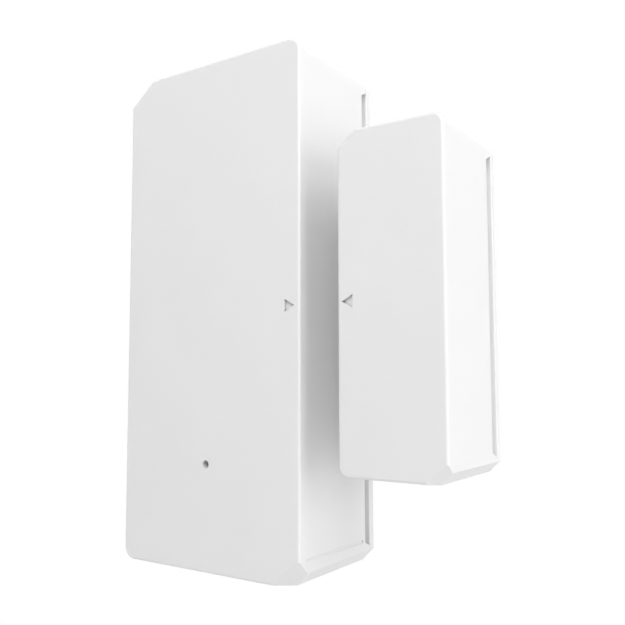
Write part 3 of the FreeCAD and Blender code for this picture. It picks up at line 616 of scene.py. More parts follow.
@dataclass(frozen=True)
class Foam(Finish):
    """Cut foam with open cells."""

    # Darker grey for painted shade in the pores, also used for the random cloudy tone.
    pore_shade_and_cloud_colour: Colour = (0.5, 0.5, 0.48)
    pore_shade_share: float = 0.55
    cloud_share: float = 0.12
    cell_mm: float = 0.16
    depth_mm: float = 0.03
    sheen: float = 0.25

    def dress(self, graph: Graph, shader: bpy.types.Node, library: EffectLibrary) -> None:
        """Add cells, painted shade in the pores and a cloudy tone.

        Args:
            graph: the material's nodes.
            shader: its Principled shader.
            library: the shared effects.
        """
        cells = library.place(graph, Effect.FOAM_CELLS, {"Size": self.cell_mm * MM})
        patches = library.place(graph, Effect.MOULD_GRAIN, {"Size": self.cell_mm * MM, "Patch": 4 * MM})
        # Painted shade: the pores are darkened towards a grey that stands for the shade inside the open
        # cells.
        share = graph.math("MULTIPLY", cells.outputs["Pore Shade"], self.pore_shade_share)
        colour = graph.blend(share, self.colour, self.pore_shade_and_cloud_colour)
        share = graph.math("MULTIPLY", patches.outputs["Tone"], self.cloud_share)
        colour = graph.blend(share, colour, self.pore_shade_and_cloud_colour)
        graph.feed(shader.inputs["Base Color"], colour)
        shader.inputs["Specular IOR Level"].default_value = self.sheen
        self.relief(graph, shader, cells.outputs["Height"], self.depth_mm)


@dataclass(frozen=True)
class Clear(Finish):
    """Clear glass or resin."""

    ior: float = 1.5
    clearness: float = 0.9
    deepening: float = 0.88
    depth_mm: float = 0.004

    def dress(self, graph: Graph, shader: bpy.types.Node, library: EffectLibrary) -> None:
        """Make it clear, with the slight waves of drawn glass.

        Args:
            graph: the material's nodes.
            shader: its Principled shader.
            library: the shared effects.
        """
        shader.inputs["Transmission Weight"].default_value = self.clearness
        shader.inputs["IOR"].default_value = self.ior
        flow = library.place(graph, Effect.MOULD_GRAIN, {"Size": 0.5 * MM, "Patch": 1.5 * MM})
        deeper = tuple(part * self.deepening for part in self.colour)
        graph.feed(shader.inputs["Base Color"], graph.blend(flow.outputs["Tone"], self.colour, deeper))
        self.relief(graph, shader, flow.outputs["Height"], self.depth_mm)


@dataclass(frozen=True)
class Fired(Finish):
    """Fired ceramic, moulded resin or ink: a hard dull body with specks."""

    speck: Colour = (0.2, 0.2, 0.2)
    speck_mm: float = 0.06
    depth_mm: float = 0.002

    def dress(self, graph: Graph, shader: bpy.types.Node, library: EffectLibrary) -> None:
        """Add specks and a fine grain.

        Args:
            graph: the material's nodes.
            shader: its Principled shader.
            library: the shared effects.
        """
        grain = library.place(graph, Effect.MOULD_GRAIN, {"Size": self.speck_mm * MM, "Patch": 1.2 * MM})
        specks = graph.remap(grain.outputs["Height"], (0.5, 0.65), (0.0, 0.5))
        colour = graph.blend(specks, self.colour, self.speck)
        colour = graph.blend(graph.math("MULTIPLY", grain.outputs["Tone"], 0.2), colour, self.speck)
        graph.feed(shader.inputs["Base Color"], colour)
        rough = graph.remap(grain.outputs["Tone"], (0.0, 1.0), (self.roughness - 0.04, self.roughness + 0.06))
        graph.feed(shader.inputs["Roughness"], rough)
        self.relief(graph, shader, grain.outputs["Height"], self.depth_mm)


# The case's lighter edge colour is a painted highlight along its edges, not wear.
# The case's strong crevice share paints shade into its narrow corners, seams and marks.
CASE = MouldedPlastic("case_white", (0.76, 0.76, 0.762), 0.55, shade=(0.75, 0.75, 0.753),
                      grain_mm=0.1, grain_depth_mm=0.0007, edge_mm=0.08, edge_colour=(0.86, 0.86, 0.86),
                      edge_share=0.12, dust=0.0, sheen=0.3, crevice_shade_share=0.6)
TRAY = MouldedPlastic("tray_off_white", (0.72, 0.71, 0.67), 0.5, shade=(0.66, 0.65, 0.61),
                      grain_mm=0.16, grain_depth_mm=0.002)
NYLON = MouldedPlastic("black_nylon", (0.022, 0.022, 0.023), 0.5, shade=(0.03, 0.03, 0.03),
                       edge_colour=(0.16, 0.16, 0.16), grain_depth_mm=0.003, dust=0.15)
LINER = MouldedPlastic("liner_paper", (0.8, 0.76, 0.62), 0.35, shade=(0.76, 0.71, 0.56),
                       grain_mm=0.35, grain_depth_mm=0.004, edge_share=0.2, dust=0.0)
TAPE_FOAM = Foam("tape_foam", (0.8, 0.8, 0.77), 0.8)
CUSHION_FOAM = Foam("cushion_foam", (0.035, 0.035, 0.037), 0.9, pore_shade_and_cloud_colour=(0.006, 0.006, 0.006),
                    cell_mm=0.3, depth_mm=0.08)
BOARD = SolderMask("board_mask", (0.018, 0.16, 0.06), 0.26)
TRACE = SolderMask("trace_mask", (0.045, 0.27, 0.11), 0.24, deep=(0.02, 0.16, 0.06))
MODULE = SolderMask("module_mask", (0.012, 0.03, 0.08), 0.28, deep=(0.004, 0.01, 0.03), weave_mm=0.35)
CELL_STEEL = Metal("cell_steel", (0.72, 0.71, 0.69), 0.24, stretch=(1.0, 1.0, 0.03))
CONTACT = Metal("contact_nickel", (0.76, 0.74, 0.7), 0.22, stretch=(0.05, 1.0, 1.0))
SCREW = Metal("screw_zinc", (0.6, 0.61, 0.63), 0.34, stretch=(1.0, 0.3, 1.0), tarnish_share=0.4)
SHIELD = Metal("shield_tin", (0.68, 0.68, 0.67), 0.32, stretch=(0.06, 1.0, 1.0), tarnish_share=0.3)
REED = Metal("reed_alloy", (0.7, 0.67, 0.62), 0.3, stretch=(1.0, 1.0, 0.06))
SOLDER = Metal("solder", (0.66, 0.66, 0.65), 0.28, stretch=(1.0, 1.0, 1.0), pitch_mm=0.2,
               line_depth_mm=0.004)
GOLD = Metal("pad_gold", (0.85, 0.62, 0.3), 0.28, tarnish=(0.55, 0.36, 0.16), stretch=(1.0, 1.0, 1.0))
ALUMINIUM = Metal("capacitor_aluminium", (0.8, 0.8, 0.8), 0.33, stretch=(1.0, 0.05, 1.0))
MAGNET_NICKEL = Metal("magnet_nickel", (0.7, 0.69, 0.66), 0.2, stretch=(1.0, 1.0, 1.0), pitch_mm=0.3,
                      line_depth_mm=0.002, tarnish_share=0.35)
GLASS = Clear("reed_glass", (0.72, 0.88, 0.8), 0.04)
LENS = Clear("lens_resin", (0.92, 0.93, 0.85), 0.12, ior=1.52)
LED_WHITE = Fired("led_white", (0.85, 0.85, 0.82), 0.4, speck=(0.7, 0.7, 0.68))
CHIP_RESIN = Fired("chip_resin", (0.028, 0.028, 0.03), 0.55, speck=(0.07, 0.07, 0.07))
TAN_CERAMIC = Fired("tan_ceramic", (0.42, 0.28, 0.16), 0.5, speck=(0.55, 0.42, 0.28))
DARK_CERAMIC = Fired("dark_ceramic", (0.025, 0.026, 0.03), 0.4, speck=(0.09, 0.09, 0.1))
CELL_CHEMISTRY = Fired("cell_chemistry", (0.05, 0.045, 0.04), 0.9, speck=(0.12, 0.1, 0.08))
WRAP = MouldedPlastic("cell_wrap", (0.02, 0.06, 0.095), 0.2, shade=(0.016, 0.05, 0.08), grain_mm=0.6,
                      grain_depth_mm=0.004, edge_colour=(0.1, 0.16, 0.2), dust=0.08, sheen=0.6)
WHITE_INK = Fired("white_ink", (0.78, 0.78, 0.76), 0.5, speck=(0.65, 0.65, 0.62))
SILVER_INK = Metal("silver_ink", (0.62, 0.64, 0.66), 0.38, stretch=(1.0, 1.0, 1.0), pitch_mm=0.05)


class Paint:
    """Makes each finish's material once and puts it on pieces and CAD nodes."""

    def __init__(self) -> None:
        """Start with an empty shelf of materials."""
        self.library = EffectLibrary()
        self.made: dict[str, bpy.types.Material] = {}

    def material(self, finish: Finish) -> bpy.types.Material:
        """Give the material of a finish.

        Args:
            finish: the finish wanted.

        Returns:
            Its material, built on first use.
        """
        if finish.name not in self.made:
            self.made[finish.name] = finish.material(self.library)
        return self.made[finish.name]

    def dress_nodes(self, finish: Finish, *names: str) -> None:
        """Put a finish on CAD nodes.

        Args:
            finish: the finish.
            *names: the nodes' names.
        """
        for name in names:
            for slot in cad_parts[name].material_slots:
                slot.material = self.material(finish)
            LOG.info("node %s: %s", name, finish.name)


# --- mesh helpers -----------------------------------------------------------------------------
def circle(count: int, radius: float) -> list[Point2]:
    """Points of a circle.

    Args:
        count: number of points.
        radius: its radius.

    Returns:
        Flat points about the origin.
    """
    turn = 2 * math.pi / count
    return [(radius * math.cos(i * turn), radius * math.sin(i * turn)) for i in range(count)]


def rounded_rectangle(width: float, height: float, radius: float, steps: int = 6) -> list[Point2]:
    """Points of a rectangle with round corners.

    Args:
        width: size across.
        height: size up.
        radius: corner radius.
        steps: segments in each corner.

    Returns:
        Flat points about the origin, anticlockwise.
    """
    points = []
    for corner in range(4):
        sign_x = 1 if corner in (0, 3) else -1
        sign_y = 1 if corner in (0, 1) else -1
        middle_x = sign_x * (width / 2 - radius)
        middle_y = sign_y * (height / 2 - radius)
        for step in range(steps + 1):
            angle = math.radians(90 * corner + 90 * step / steps)
            points.append((middle_x + radius * math.cos(angle), middle_y + radius * math.sin(angle)))
    return points


class Piece:
    """One visible piece: collects closed shells in a mesh, then becomes an object."""

    def __init__(self, name: str) -> None:
        """Start an empty piece.

        Args:
            name: the object's name.
        """
        self.name = name
        self.mesh = bmesh.new()

    def loft(self, rings: Sequence[Sequence[Vector]], loop: bool = False) -> None:
        """Skin a row of equal rings, and cap its ends.

        Args:
            rings: rings of points, all with the same count.
            loop: join the last ring to the first in place of capping.
        """
        rows = [[self.mesh.verts.new(point) for point in ring] for ring in rings]
        pairs = list(zip(rows, rows[1:]))
        if loop:
            pairs.append((rows[-1], rows[0]))
        for first, second in pairs:
            for index in range(len(first)):
                after = (index + 1) % len(first)
                self.mesh.faces.new((first[index], first[after], second[after], second[index]))
        if not loop:
            self.mesh.faces.new(list(reversed(rows[0])))
            self.mesh.faces.new(rows[-1])

    def lathe(self, profile: Sequence[Point2], centre: Vector, axis: Vector, count: int = 64) -> None:
        """Turn a closed profile about an axis.

        Args:
            profile: pairs of radius and height, all radii above 0, or starting and ending at 0.
            centre: point on the axis at height 0.
            axis: unit direction of the axis.
            count: points round each ring.
        """
        across = axis.orthogonal().normalized()
        up = axis.cross(across)
        closed = profile[0][0] > 0
        trimmed = profile if closed else profile[1:-1]
        rings = [[centre + axis * height + across * (radius * x) + up * (radius * y)
                  for x, y in circle(count, 1.0)] for radius, height in trimmed]
        self.loft(rings, loop=closed)

    def slab(self, outline: Sequence[Point2], low: float, high: float, origin: Vector,
             edge: float = 0.0) -> None:
        """Raise a flat outline along Y, with its far rim rounded over.

        Args:
            outline: flat points, X then Z.
            low: Y where it starts.
            high: Y where it ends.
            origin: added to every point.
            edge: how far the rim at the far end is drawn in.
        """
        reach = high - low
        levels = [(0.0, 0.0), (1.0, 0.0)]
        if edge:
            step = min(edge / abs(reach), 0.9)
            levels = [(0.0, 0.0), (1 - step, 0.0), (1 - step * 0.3, 0.3 * edge), (1.0, edge)]
        centre = Vector((sum(p[0] for p in outline), 0, sum(p[1] for p in outline))) / len(outline)
        rings = []
        for share, inset in levels:
            ring = []
            for x, z in outline:
                point = Vector((x, 0, z))
                inwards = centre - point
                point += inwards.normalized() * inset
                ring.append(origin + Vector((point.x, low + share * reach, point.z)))
            rings.append(ring)
        self.loft(rings)

    def ribbon(self, path: Sequence[Point2], width: float, low: float, high: float) -> None:
        """Lay a flat strip along a path in a plane of constant Y.

        Args:
            path: its corners, X then Z.
            width: the strip's width.
            low: Y of its underside.
            high: Y of its top.
        """
        rings = []
        for index, (x, z) in enumerate(path):
            here = Vector((x, z))
            before = Vector(path[max(index - 1, 0)])
            after = Vector(path[min(index + 1, len(path) - 1)])
            into = (here - before).normalized() if index else (after - here).normalized()
            out = (after - here).normalized() if index < len(path) - 1 else into
            along = (into + out).normalized()
            side = Vector((-along.y, along.x)) * (width / 2 / max(along.dot(into), 0.5))
            left, right = here + side, here - side
            rings.append([Vector((left.x, low, left.y)), Vector((left.x, high, left.y)),
                          Vector((right.x, high, right.y)), Vector((right.x, low, right.y))])
        self.loft(rings)

    def make(self, finish: Finish, paint: Paint, body: Body,
             smooth_degrees: float = 40.0) -> bpy.types.Object:
        """Turn the mesh into an object that rides on a body.

        Args:
            finish: its finish.
            paint: the shelf of materials.
            body: the body it rides on.
            smooth_degrees: edges sharper than this stay crisp.

        Returns:
            The new object.
        """
        bmesh.ops.recalc_face_normals(self.mesh, faces=self.mesh.faces)
        data = bpy.data.meshes.new(self.name)
        self.mesh.to_mesh(data)
        self.mesh.free()
        data.polygons.foreach_set("use_smooth", [True] * len(data.polygons))
        data.set_sharp_from_angle(angle=math.radians(smooth_degrees))
        data.materials.append(paint.material(finish))
        made = bpy.data.objects.new(self.name, data)
        bpy.context.scene.collection.objects.link(made)
        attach(made, body.value)
        LOG.info("piece %s on %s: %s", self.name, body.value, finish.name)
        return made


def corners(node: str) -> tuple[Vector, Vector]:
    """Lowest and highest corner of a CAD node's box.

    Args:
        node: the node's name.

    Returns:
        Both corners, in metres.
    """
    low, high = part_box(node)
    return Vector(low), Vector(high)


def middle(node: str) -> Vector:
    """Centre of a CAD node's box.

    Args:
        node: the node's name.

    Returns:
        The centre, in metres.
    """
    low, high = corners(node)
    return (low + high) / 2


def in_metres(points_mm: Sequence[Point2]) -> list[Point2]:
    """Turn flat points from millimetres to metres.

    Args:
        points_mm: the points.

    Returns:
        The same points, in metres.
    """
    return [(first * MM, second * MM) for first, second in points_mm]


# --- soft pieces ------------------------------------------------------------------------------
@dataclass
class AdhesivePad:
    """Foam tape on the back of a cover, with its release liner."""

    node: str
    unit: str
    body: Body
    paint: Paint
    corner_mm: float = 1.5
    liner_mm: float = 0.08
    liner_overhang_mm: float = 0.25
    liner_corner_mm: float = 0.8
    slit_mm: float = 0.06
    glue_mm: float = 0.02
    ring_count: int = 14
    ringed_share: float = 0.92
    ripple_mm: float = 0.012
    ripples_per_m: float = 260.0
    nick_mm: float = 0.03
    nicks_per_m: float = 900.0
    fill: float = 0.9

    def outline(self, inset: float) -> list[Point2]:
        """Give the pad's outline.

        Args:
            inset: distance in from the edge, in metres.

        Returns:
            Flat points about the pad's centre.
        """
        low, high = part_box(self.node)
        radius = max(self.corner_mm * MM - inset, 0.2 * MM)
        return rounded_rectangle(high[0] - low[0] - 2 * inset, high[2] - low[2] - 2 * inset, radius)

    def foam(self) -> bpy.types.Object:
        """Build the foam strip, with an uneven cut edge and a gently rippled face.

        Returns:
            The foam's object.
        """
        low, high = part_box(self.node)
        centre = middle(self.node)
        liner = self.liner_mm * MM
        back = high[1] - liner - self.glue_mm * MM
        depth = back - low[1]
        piece = Piece(self.unit + "_pad_foam")
        rings = []
        cut_edge = ((0.0, 0.05), (0.2, 0.01), (0.5, 0.05), (0.8, 0.0), (1.0, 0.04))
        for share, inset_mm in cut_edge:
            ring = []
            for x, z in self.outline(inset_mm * MM):
                nick = noise.noise(Vector((x, share * 0.01, z)) * self.nicks_per_m) * self.nick_mm * MM
                scale = 1 - max(nick, 0.0) / max(abs(x), abs(z), MM)
                ring.append(Vector((centre.x + x * scale, low[1] + share * depth, centre.z + z * scale)))
            rings.append(ring)
        half_width = (high[0] - low[0]) / 2
        for step in range(1, self.ring_count):
            inset = half_width * self.ringed_share * step / self.ring_count
            ring = []
            for x, z in self.outline(inset):
                wave = noise.noise(Vector((x, 0.0, z)) * self.ripples_per_m)
                ripple = (wave - 0.6) * self.ripple_mm * MM
                ring.append(Vector((centre.x + x, back + min(ripple, 0.0), centre.z + z)))
            rings.append(ring)
        piece.loft(rings)
        made = piece.make(TAPE_FOAM, self.paint, self.body, 50.0)
        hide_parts(self.node)
        return made

    def liner(self) -> bpy.types.Object:
        """Build the release liner: two halves that part along a slit.

        Returns:
            The liner's object.
        """
        low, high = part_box(self.node)
        centre = middle(self.node)
        half_w = (high[0] - low[0]) / 2 + self.liner_overhang_mm * MM
        half_h = (high[2] - low[2]) / 2 + self.liner_overhang_mm * MM
        piece = Piece(self.unit + "_pad_liner")
        slit = self.slit_mm * MM
        height = half_h - slit
        for sign in (-1, 1):
            outline = rounded_rectangle(2 * half_w, height, self.liner_corner_mm * MM)
            shifted = [(x, z + sign * (height / 2 + slit)) for x, z in outline]
            piece.slab(shifted, high[1] - self.liner_mm * MM, high[1], Vector((centre.x, 0, centre.z)))
        return piece.make(LINER, self.paint, self.body)

    def build(self) -> None:
        """Build the foam and its liner."""
        self.foam()
        self.liner()


@dataclass
class Cushion:
    """Soft block between the magnet and the cover's posts."""

    paint: Paint
    node: str = "magnet_cushion"
    corner_mm: float = 0.35
    waist_mm: float = 0.054
    crown_mm: float = 0.12
    end_draw: float = 0.08
    end_reach_mm: float = 0.35
    dent_mm: float = 0.14
    post_z_mm: float = 9.0
    dent_half_mm: float = 1.4
    stations: int = 48
    fill: float = 0.8

    def build(self) -> None:
        """Build a block with pulled-in sides, crowned back and a dent under each post."""
        low, high = corners(self.node)
        size = high - low
        centre = (low + high) / 2
        section = rounded_rectangle(size.x, size.y, self.corner_mm * MM, 5)
        piece = Piece("magnet_cushion_foam")
        rings = []
        for station in range(self.stations + 1):
            share = station / self.stations
            z = low.z + share * size.z
            end = min(share, 1 - share) * size.z
            draw = 1 - self.end_draw * math.exp(-end / (self.end_reach_mm * MM))
            dent = math.exp(-((abs(z) - self.post_z_mm * MM) / (self.dent_half_mm * MM)) ** 4)
            ring = []
            for x, y in section:
                across = x / (size.x / 2)
                deep = y / (size.y / 2)
                pulled = x * draw - math.copysign(self.waist_mm * MM * (1 - deep * deep), x)
                level = centre.y + y * draw
                if y > 0:
                    level -= self.crown_mm * MM * across * across + self.dent_mm * MM * dent
                ring.append(Vector((centre.x + pulled, level, z)))
            rings.append(ring)
        piece.loft(rings)
        made = piece.make(CUSHION_FOAM, self.paint, Body.MAGNET_HOUSING, 55.0)
        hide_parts(self.node)


# --- battery ----------------------------------------------------------------------------------
@dataclass
class Cell:
    """One cell: crimped steel can, insulating ring, shrink wrap and its printed marks."""

    side: str
    polarity: Polarity
    paint: Paint
    radius_mm: float = 5.25
    wrap_mm: float = 0.1
    ink_mm: float = 0.01
    nub_radius_mm: float = 1.9
    ring_points: int = 72
    patch_step_deg: float = 4.0

    def __post_init__(self) -> None:
        """Read the cell's place from the frame."""
        low, high = corners(self.side + "_cell_can")
        self.length_mm = (high.z - low.z) / MM
        self.axis = Vector((0, 0, self.polarity.value))
        base_z = low.z if self.polarity is Polarity.NUB_UP else high.z
        centre = middle(self.side + "_cell_can")
        self.base = Vector((centre.x, centre.y, base_z))

    def turned(self, name: str, profile_mm: Sequence[Point2], finish: Finish, slot: str) -> bpy.types.Object:
        """Turn one piece of the cell about its axis.

        Args:
            name: the piece's name after the cell's side.
            profile_mm: radius and height pairs, from the flat end.
            finish: its finish.
            slot: not used.

        Returns:
            The piece's object.
        """
        piece = Piece(self.side + "_cell_" + name)
        piece.lathe(in_metres(profile_mm), self.base, self.axis, self.ring_points)
        return piece.make(finish, self.paint, Body.SENSOR_HOUSING)

    def patch(self, piece: Piece, from_deg: float, to_deg: float, low_mm: float, high_mm: float) -> None:
        """Add a thin curved patch of ink on the wrap.

        Args:
            piece: the piece that takes it.
            from_deg: where it starts round the cell, from the open side of the tray.
            to_deg: where it ends.
            low_mm: lower edge above the flat end.
            high_mm: upper edge.
        """
        inner = self.radius_mm - self.ink_mm
        outer = self.radius_mm
        steps = max(2, int((to_deg - from_deg) / self.patch_step_deg))
        rings = []
        for step in range(steps + 1):
            angle = math.radians(from_deg + (to_deg - from_deg) * step / steps)
            out = Vector((math.sin(angle), math.cos(angle), 0))
            rings.append([self.base + out * (radius * MM) + self.axis * (height * MM)
                          for radius, height in ((inner, low_mm), (outer, low_mm),
                                                 (outer, high_mm), (inner, high_mm))])
        full = to_deg - from_deg >= 360
        piece.loft(rings[:-1] if full else rings, loop=full)

    def build(self) -> None:
        """Build the can, the ring, the wrap and the print."""
        length = self.length_mm
        can_r = self.radius_mm - self.wrap_mm - 0.02
        nub = self.nub_radius_mm
        can = [(0, 0.12), (2.6, 0.12), (2.8, 0.0), (3.7, 0.0), (3.95, 0.14), (4.15, 0.42), (4.55, 0.42),
               (4.8, 0.3), (can_r - 0.1, 0.45), (can_r, 0.8), (can_r, length - 3.0),
               (can_r - 0.06, length - 2.7), (can_r, length - 2.4), (can_r, length - 1.7),
               (can_r - 0.12, length - 1.35), (4.6, length - 1.15), (4.25, length - 1.25),
               (4.2, length - 1.5), (nub + 0.25, length - 1.5), (nub + 0.1, length - 1.35),
               (nub, length - 1.1), (nub - 0.02, length - 0.3), (nub - 0.12, length - 0.08),
               (nub - 0.35, length), (0, length)]
        made = self.turned("steel", can, CELL_STEEL, "cell_steel")
        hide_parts(self.side + "_cell_can", self.side + "_cell_core")
        ring = [(nub + 0.3, length - 1.49), (4.18, length - 1.49), (4.18, length - 1.3),
                (3.9, length - 1.22), (nub + 0.5, length - 1.22), (nub + 0.3, length - 1.3)]
        self.turned("seal", ring, NYLON, "black_plastic")
        top = length - 1.12
        radius = self.radius_mm - 0.005
        wrap = [(4.45, 0.3), (4.75, 0.16), (5.02, 0.26), (radius - 0.03, 0.62), (radius, 1.1),
                (radius, length - 2.0), (radius - 0.03, length - 1.6), (5.0, length - 1.2), (4.7, top),
                (4.45, top + 0.02), (4.45, top - 0.03), (4.7, top - 0.06), (can_r - 0.08, length - 1.35),
                (can_r + 0.01, length - 1.7), (can_r + 0.01, 0.82), (can_r - 0.05, 0.44), (4.8, 0.29),
                (4.6, 0.4)]
        made = self.turned("wrap", wrap, WRAP, "cell_sleeve")
        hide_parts(self.side + "_cell_sleeve")
        self.print_marks()

    def print_marks(self) -> None:
        """Print a silver end band, two rules and the plus and minus signs, twice round."""
        length = self.length_mm
        bands = Piece(self.side + "_cell_bands")
        for low, high in ((length - 9.0, length - 3.2), (length - 10.0, length - 9.6), (2.6, 3.1)):
            self.patch(bands, 0, 360, low, high)
        bands.make(SILVER_INK, self.paint, Body.SENSOR_HOUSING)
        signs = Piece(self.side + "_cell_signs")
        bar_half, upright_half = 18, 3.7
        for centre in (-60, 60):
            self.patch(signs, centre - bar_half, centre + bar_half, length - 13.6, length - 12.9)
            for low, high in ((length - 14.9, length - 13.62), (length - 12.88, length - 11.6)):
                self.patch(signs, centre - upright_half, centre + upright_half, low, high)
            self.patch(signs, centre - bar_half, centre + bar_half, 6.0, 6.7)
        signs.make(WHITE_INK, self.paint, Body.SENSOR_HOUSING)


@dataclass
class BatteryBay:
    """The tray, its contacts and the two cells."""

    paint: Paint
    rib_count: int = 5
    rib_width_mm: float = 0.8
    rib_height_mm: float = 0.6
    rib_foot_mm: float = 0.3
    rib_top_mm: float = 1.2

    def build(self) -> None:
        """Dress the tray and contacts, and build the cells and the tray's ribs."""
        self.paint.dress_nodes(TRAY, "battery_tray")
        self.paint.dress_nodes(CONTACT, "link_contact", "link_spring", "negative_contact",
                               "negative_spring", "positive_contact")
        self.paint.dress_nodes(CELL_CHEMISTRY, "left_cell_core", "right_cell_core")
        Cell("left", Polarity.NUB_UP, self.paint).build()
        Cell("right", Polarity.NUB_DOWN, self.paint).build()
        self.side_ribs()

    def side_ribs(self) -> None:
        """Build short ribs that stiffen the tray's side walls."""
        low, high = corners("battery_tray")
        piece = Piece("tray_side_ribs")
        span = high.z - low.z
        foot = low.y + self.rib_foot_mm * MM
        top = middle("battery_tray").y - self.rib_top_mm * MM
        outline = rounded_rectangle(self.rib_height_mm * 2 * MM, self.rib_width_mm * MM, 0.25 * MM, 3)
        for side in (-1, 1):
            wall_x = low.x if side < 0 else high.x
            for index in range(self.rib_count):
                z = low.z + span * (index + 0.5) / self.rib_count
                piece.slab(outline, foot, top, Vector((wall_x, 0, z)), 0.12 * MM)
        piece.make(TRAY, self.paint, Body.SENSOR_HOUSING)


# --- board ------------------------------------------------------------------------------------
@dataclass
class CircuitBoard:
    """The main board's copper, solder, legend and small parts. Lengths in millimetres."""

    paint: Paint
    copper_mm: float = 0.035
    trace_mm: float = 0.25
    via_radius_mm: float = 0.28
    pad_mm: float = 0.05
    pad_count: int = 4
    pad_pitch_mm: float = 2.0
    first_pad_x_mm: float = -2.0
    pads_z_mm: float = -31.2
    chip_end_mm: float = 0.36
    ink_mm: float = 0.02
    legend_line_mm: float = 0.15
    legend_corner_mm: float = 1.2
    legend_half_width_mm: float = 13.4
    legend_lowest_mm: float = -32.9
    solder_mm: float = 0.03
    chip_pads_per_side: int = 8
    chip_pad_pitch_mm: float = 0.5

    def __post_init__(self) -> None:
        """Read the board's faces from the frame."""
        low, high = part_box("main_board")
        self.faces = {Side.FRONT: low[1], Side.BACK: high[1]}

    def levels(self, side: Side, thickness_mm: float) -> Point2:
        """Give the Y range of a layer on one face.

        Args:
            side: the board's face.
            thickness_mm: the layer's thickness.

        Returns:
            Y of its foot and of its top.
        """
        foot = self.faces[side]
        return foot, foot + side.value * thickness_mm * MM

    def build(self) -> None:
        """Dress the board's nodes and build its layers."""
        paint = self.paint
        paint.dress_nodes(BOARD, "main_board")
        paint.dress_nodes(SCREW, "board_screws")
        paint.dress_nodes(CHIP_RESIN, "controller_chip", "radio_chip")
        paint.dress_nodes(SHIELD, "crystal_can", "radio_shield", "button_cover")
        paint.dress_nodes(TAN_CERAMIC, "chip_capacitors")
        paint.dress_nodes(DARK_CERAMIC, "chip_resistors")
        paint.dress_nodes(ALUMINIUM, "reservoir_can")
        paint.dress_nodes(NYLON, "reservoir_base", "button_body", "button_plunger")
        paint.dress_nodes(MODULE, "radio_board")
        paint.dress_nodes(GOLD, "antenna_trace")
        paint.dress_nodes(LED_WHITE, "led_body")
        paint.dress_nodes(LENS, "led_lens")
        self.back_traces()
        self.back_vias()
        self.test_pads()
        self.back_legend()
        self.chip_terminals()
        self.controller_pads()

    def back_traces(self) -> None:
        """Build the raised traces on the open part of the board's back."""
        foot, top = self.levels(Side.BACK, self.copper_mm)
        piece = Piece("board_back_traces")
        routes = []
        for lane in range(self.pad_count):
            x = self.first_pad_x_mm - 0.6 + lane * self.pad_pitch_mm
            routes.append([(x, -28.6), (x, -29.4), (x + 0.6, -30.0), (x + 0.6, -30.5)])
        routes += [
            [(-12.9, -17.4), (-12.9, -26.2), (-11.2, -27.9), (-9.5, -27.9)],
            [(-12.2, -17.4), (-12.2, -18.6), (-11.7, -19.1)],
            [(-5.4, -19.6), (-4.6, -19.6), (-4.1, -20.1), (-4.1, -21.0)],
            [(-5.4, -24.0), (-4.7, -24.0), (-4.2, -24.5), (-4.2, -26.0)],
            [(-4.0, -28.9), (-3.4, -28.9)],
            [(12.9, -17.4), (12.9, -27.6), (12.2, -28.3), (10.4, -28.3)],
            [(13.2, -28.2), (13.2, -17.4)],
            [(8.6, -31.6), (9.2, -32.2), (9.2, -32.6), (-3.6, -32.6), (-4.0, -32.2)],
        ]
        routes += [[(x, -17.4), (x, -17.9)] for x in (0.5, 3.1, 5.7)]
        for route in routes:
            piece.ribbon(in_metres(route), self.trace_mm * MM, foot, top)
        pour = rounded_rectangle(3.4 * MM, 1.0 * MM, 0.3 * MM, 3)
        for x in (-11.4, 11.4):
            piece.slab(pour, foot, top, Vector((x * MM, 0, -17.6 * MM)))
        piece.make(TRACE, self.paint, Body.SENSOR_HOUSING)

    def back_vias(self) -> None:
        """Build the rings of the plated holes."""
        foot, top = self.levels(Side.BACK, self.copper_mm * 1.6)
        piece = Piece("board_back_vias")
        places = [(-12.9, -17.9), (-9.3, -17.8), (-6.9, -17.8), (12.9, -18.9), (13.2, -28.6), (0.5, -18.0),
                  (3.1, -18.0), (5.7, -18.0), (8.9, -29.6), (9.9, -29.6), (-12.6, -28.2), (-4.0, -32.0)]
        radius = self.via_radius_mm
        height = (top - foot) / MM
        profile = [(radius * 0.45, 0.0), (radius, 0.0), (radius * 0.97, height * 0.7),
                   (radius * 0.85, height), (radius * 0.6, height), (radius * 0.45, height * 0.6)]
        for x, z in places:
            piece.lathe(in_metres(profile), Vector((x * MM, foot, z * MM)), BACKWARDS, 20)
        piece.make(TRACE, self.paint, Body.SENSOR_HOUSING)

    def test_pads(self) -> None:
        """Build the row of gold test pads below the radio module."""
        foot, top = self.levels(Side.BACK, self.pad_mm)
        piece = Piece("board_test_pads")
        height = (top - foot) / MM
        profile = [(0, 0), (0.72, 0.0), (0.7, height * 0.8), (0.62, height), (0, height)]
        for index in range(self.pad_count):
            x = self.first_pad_x_mm + self.pad_pitch_mm * index
            centre = Vector((x * MM, foot, self.pads_z_mm * MM))
            piece.lathe(in_metres(profile), centre, BACKWARDS, 32)
        piece.make(GOLD, self.paint, Body.SENSOR_HOUSING)

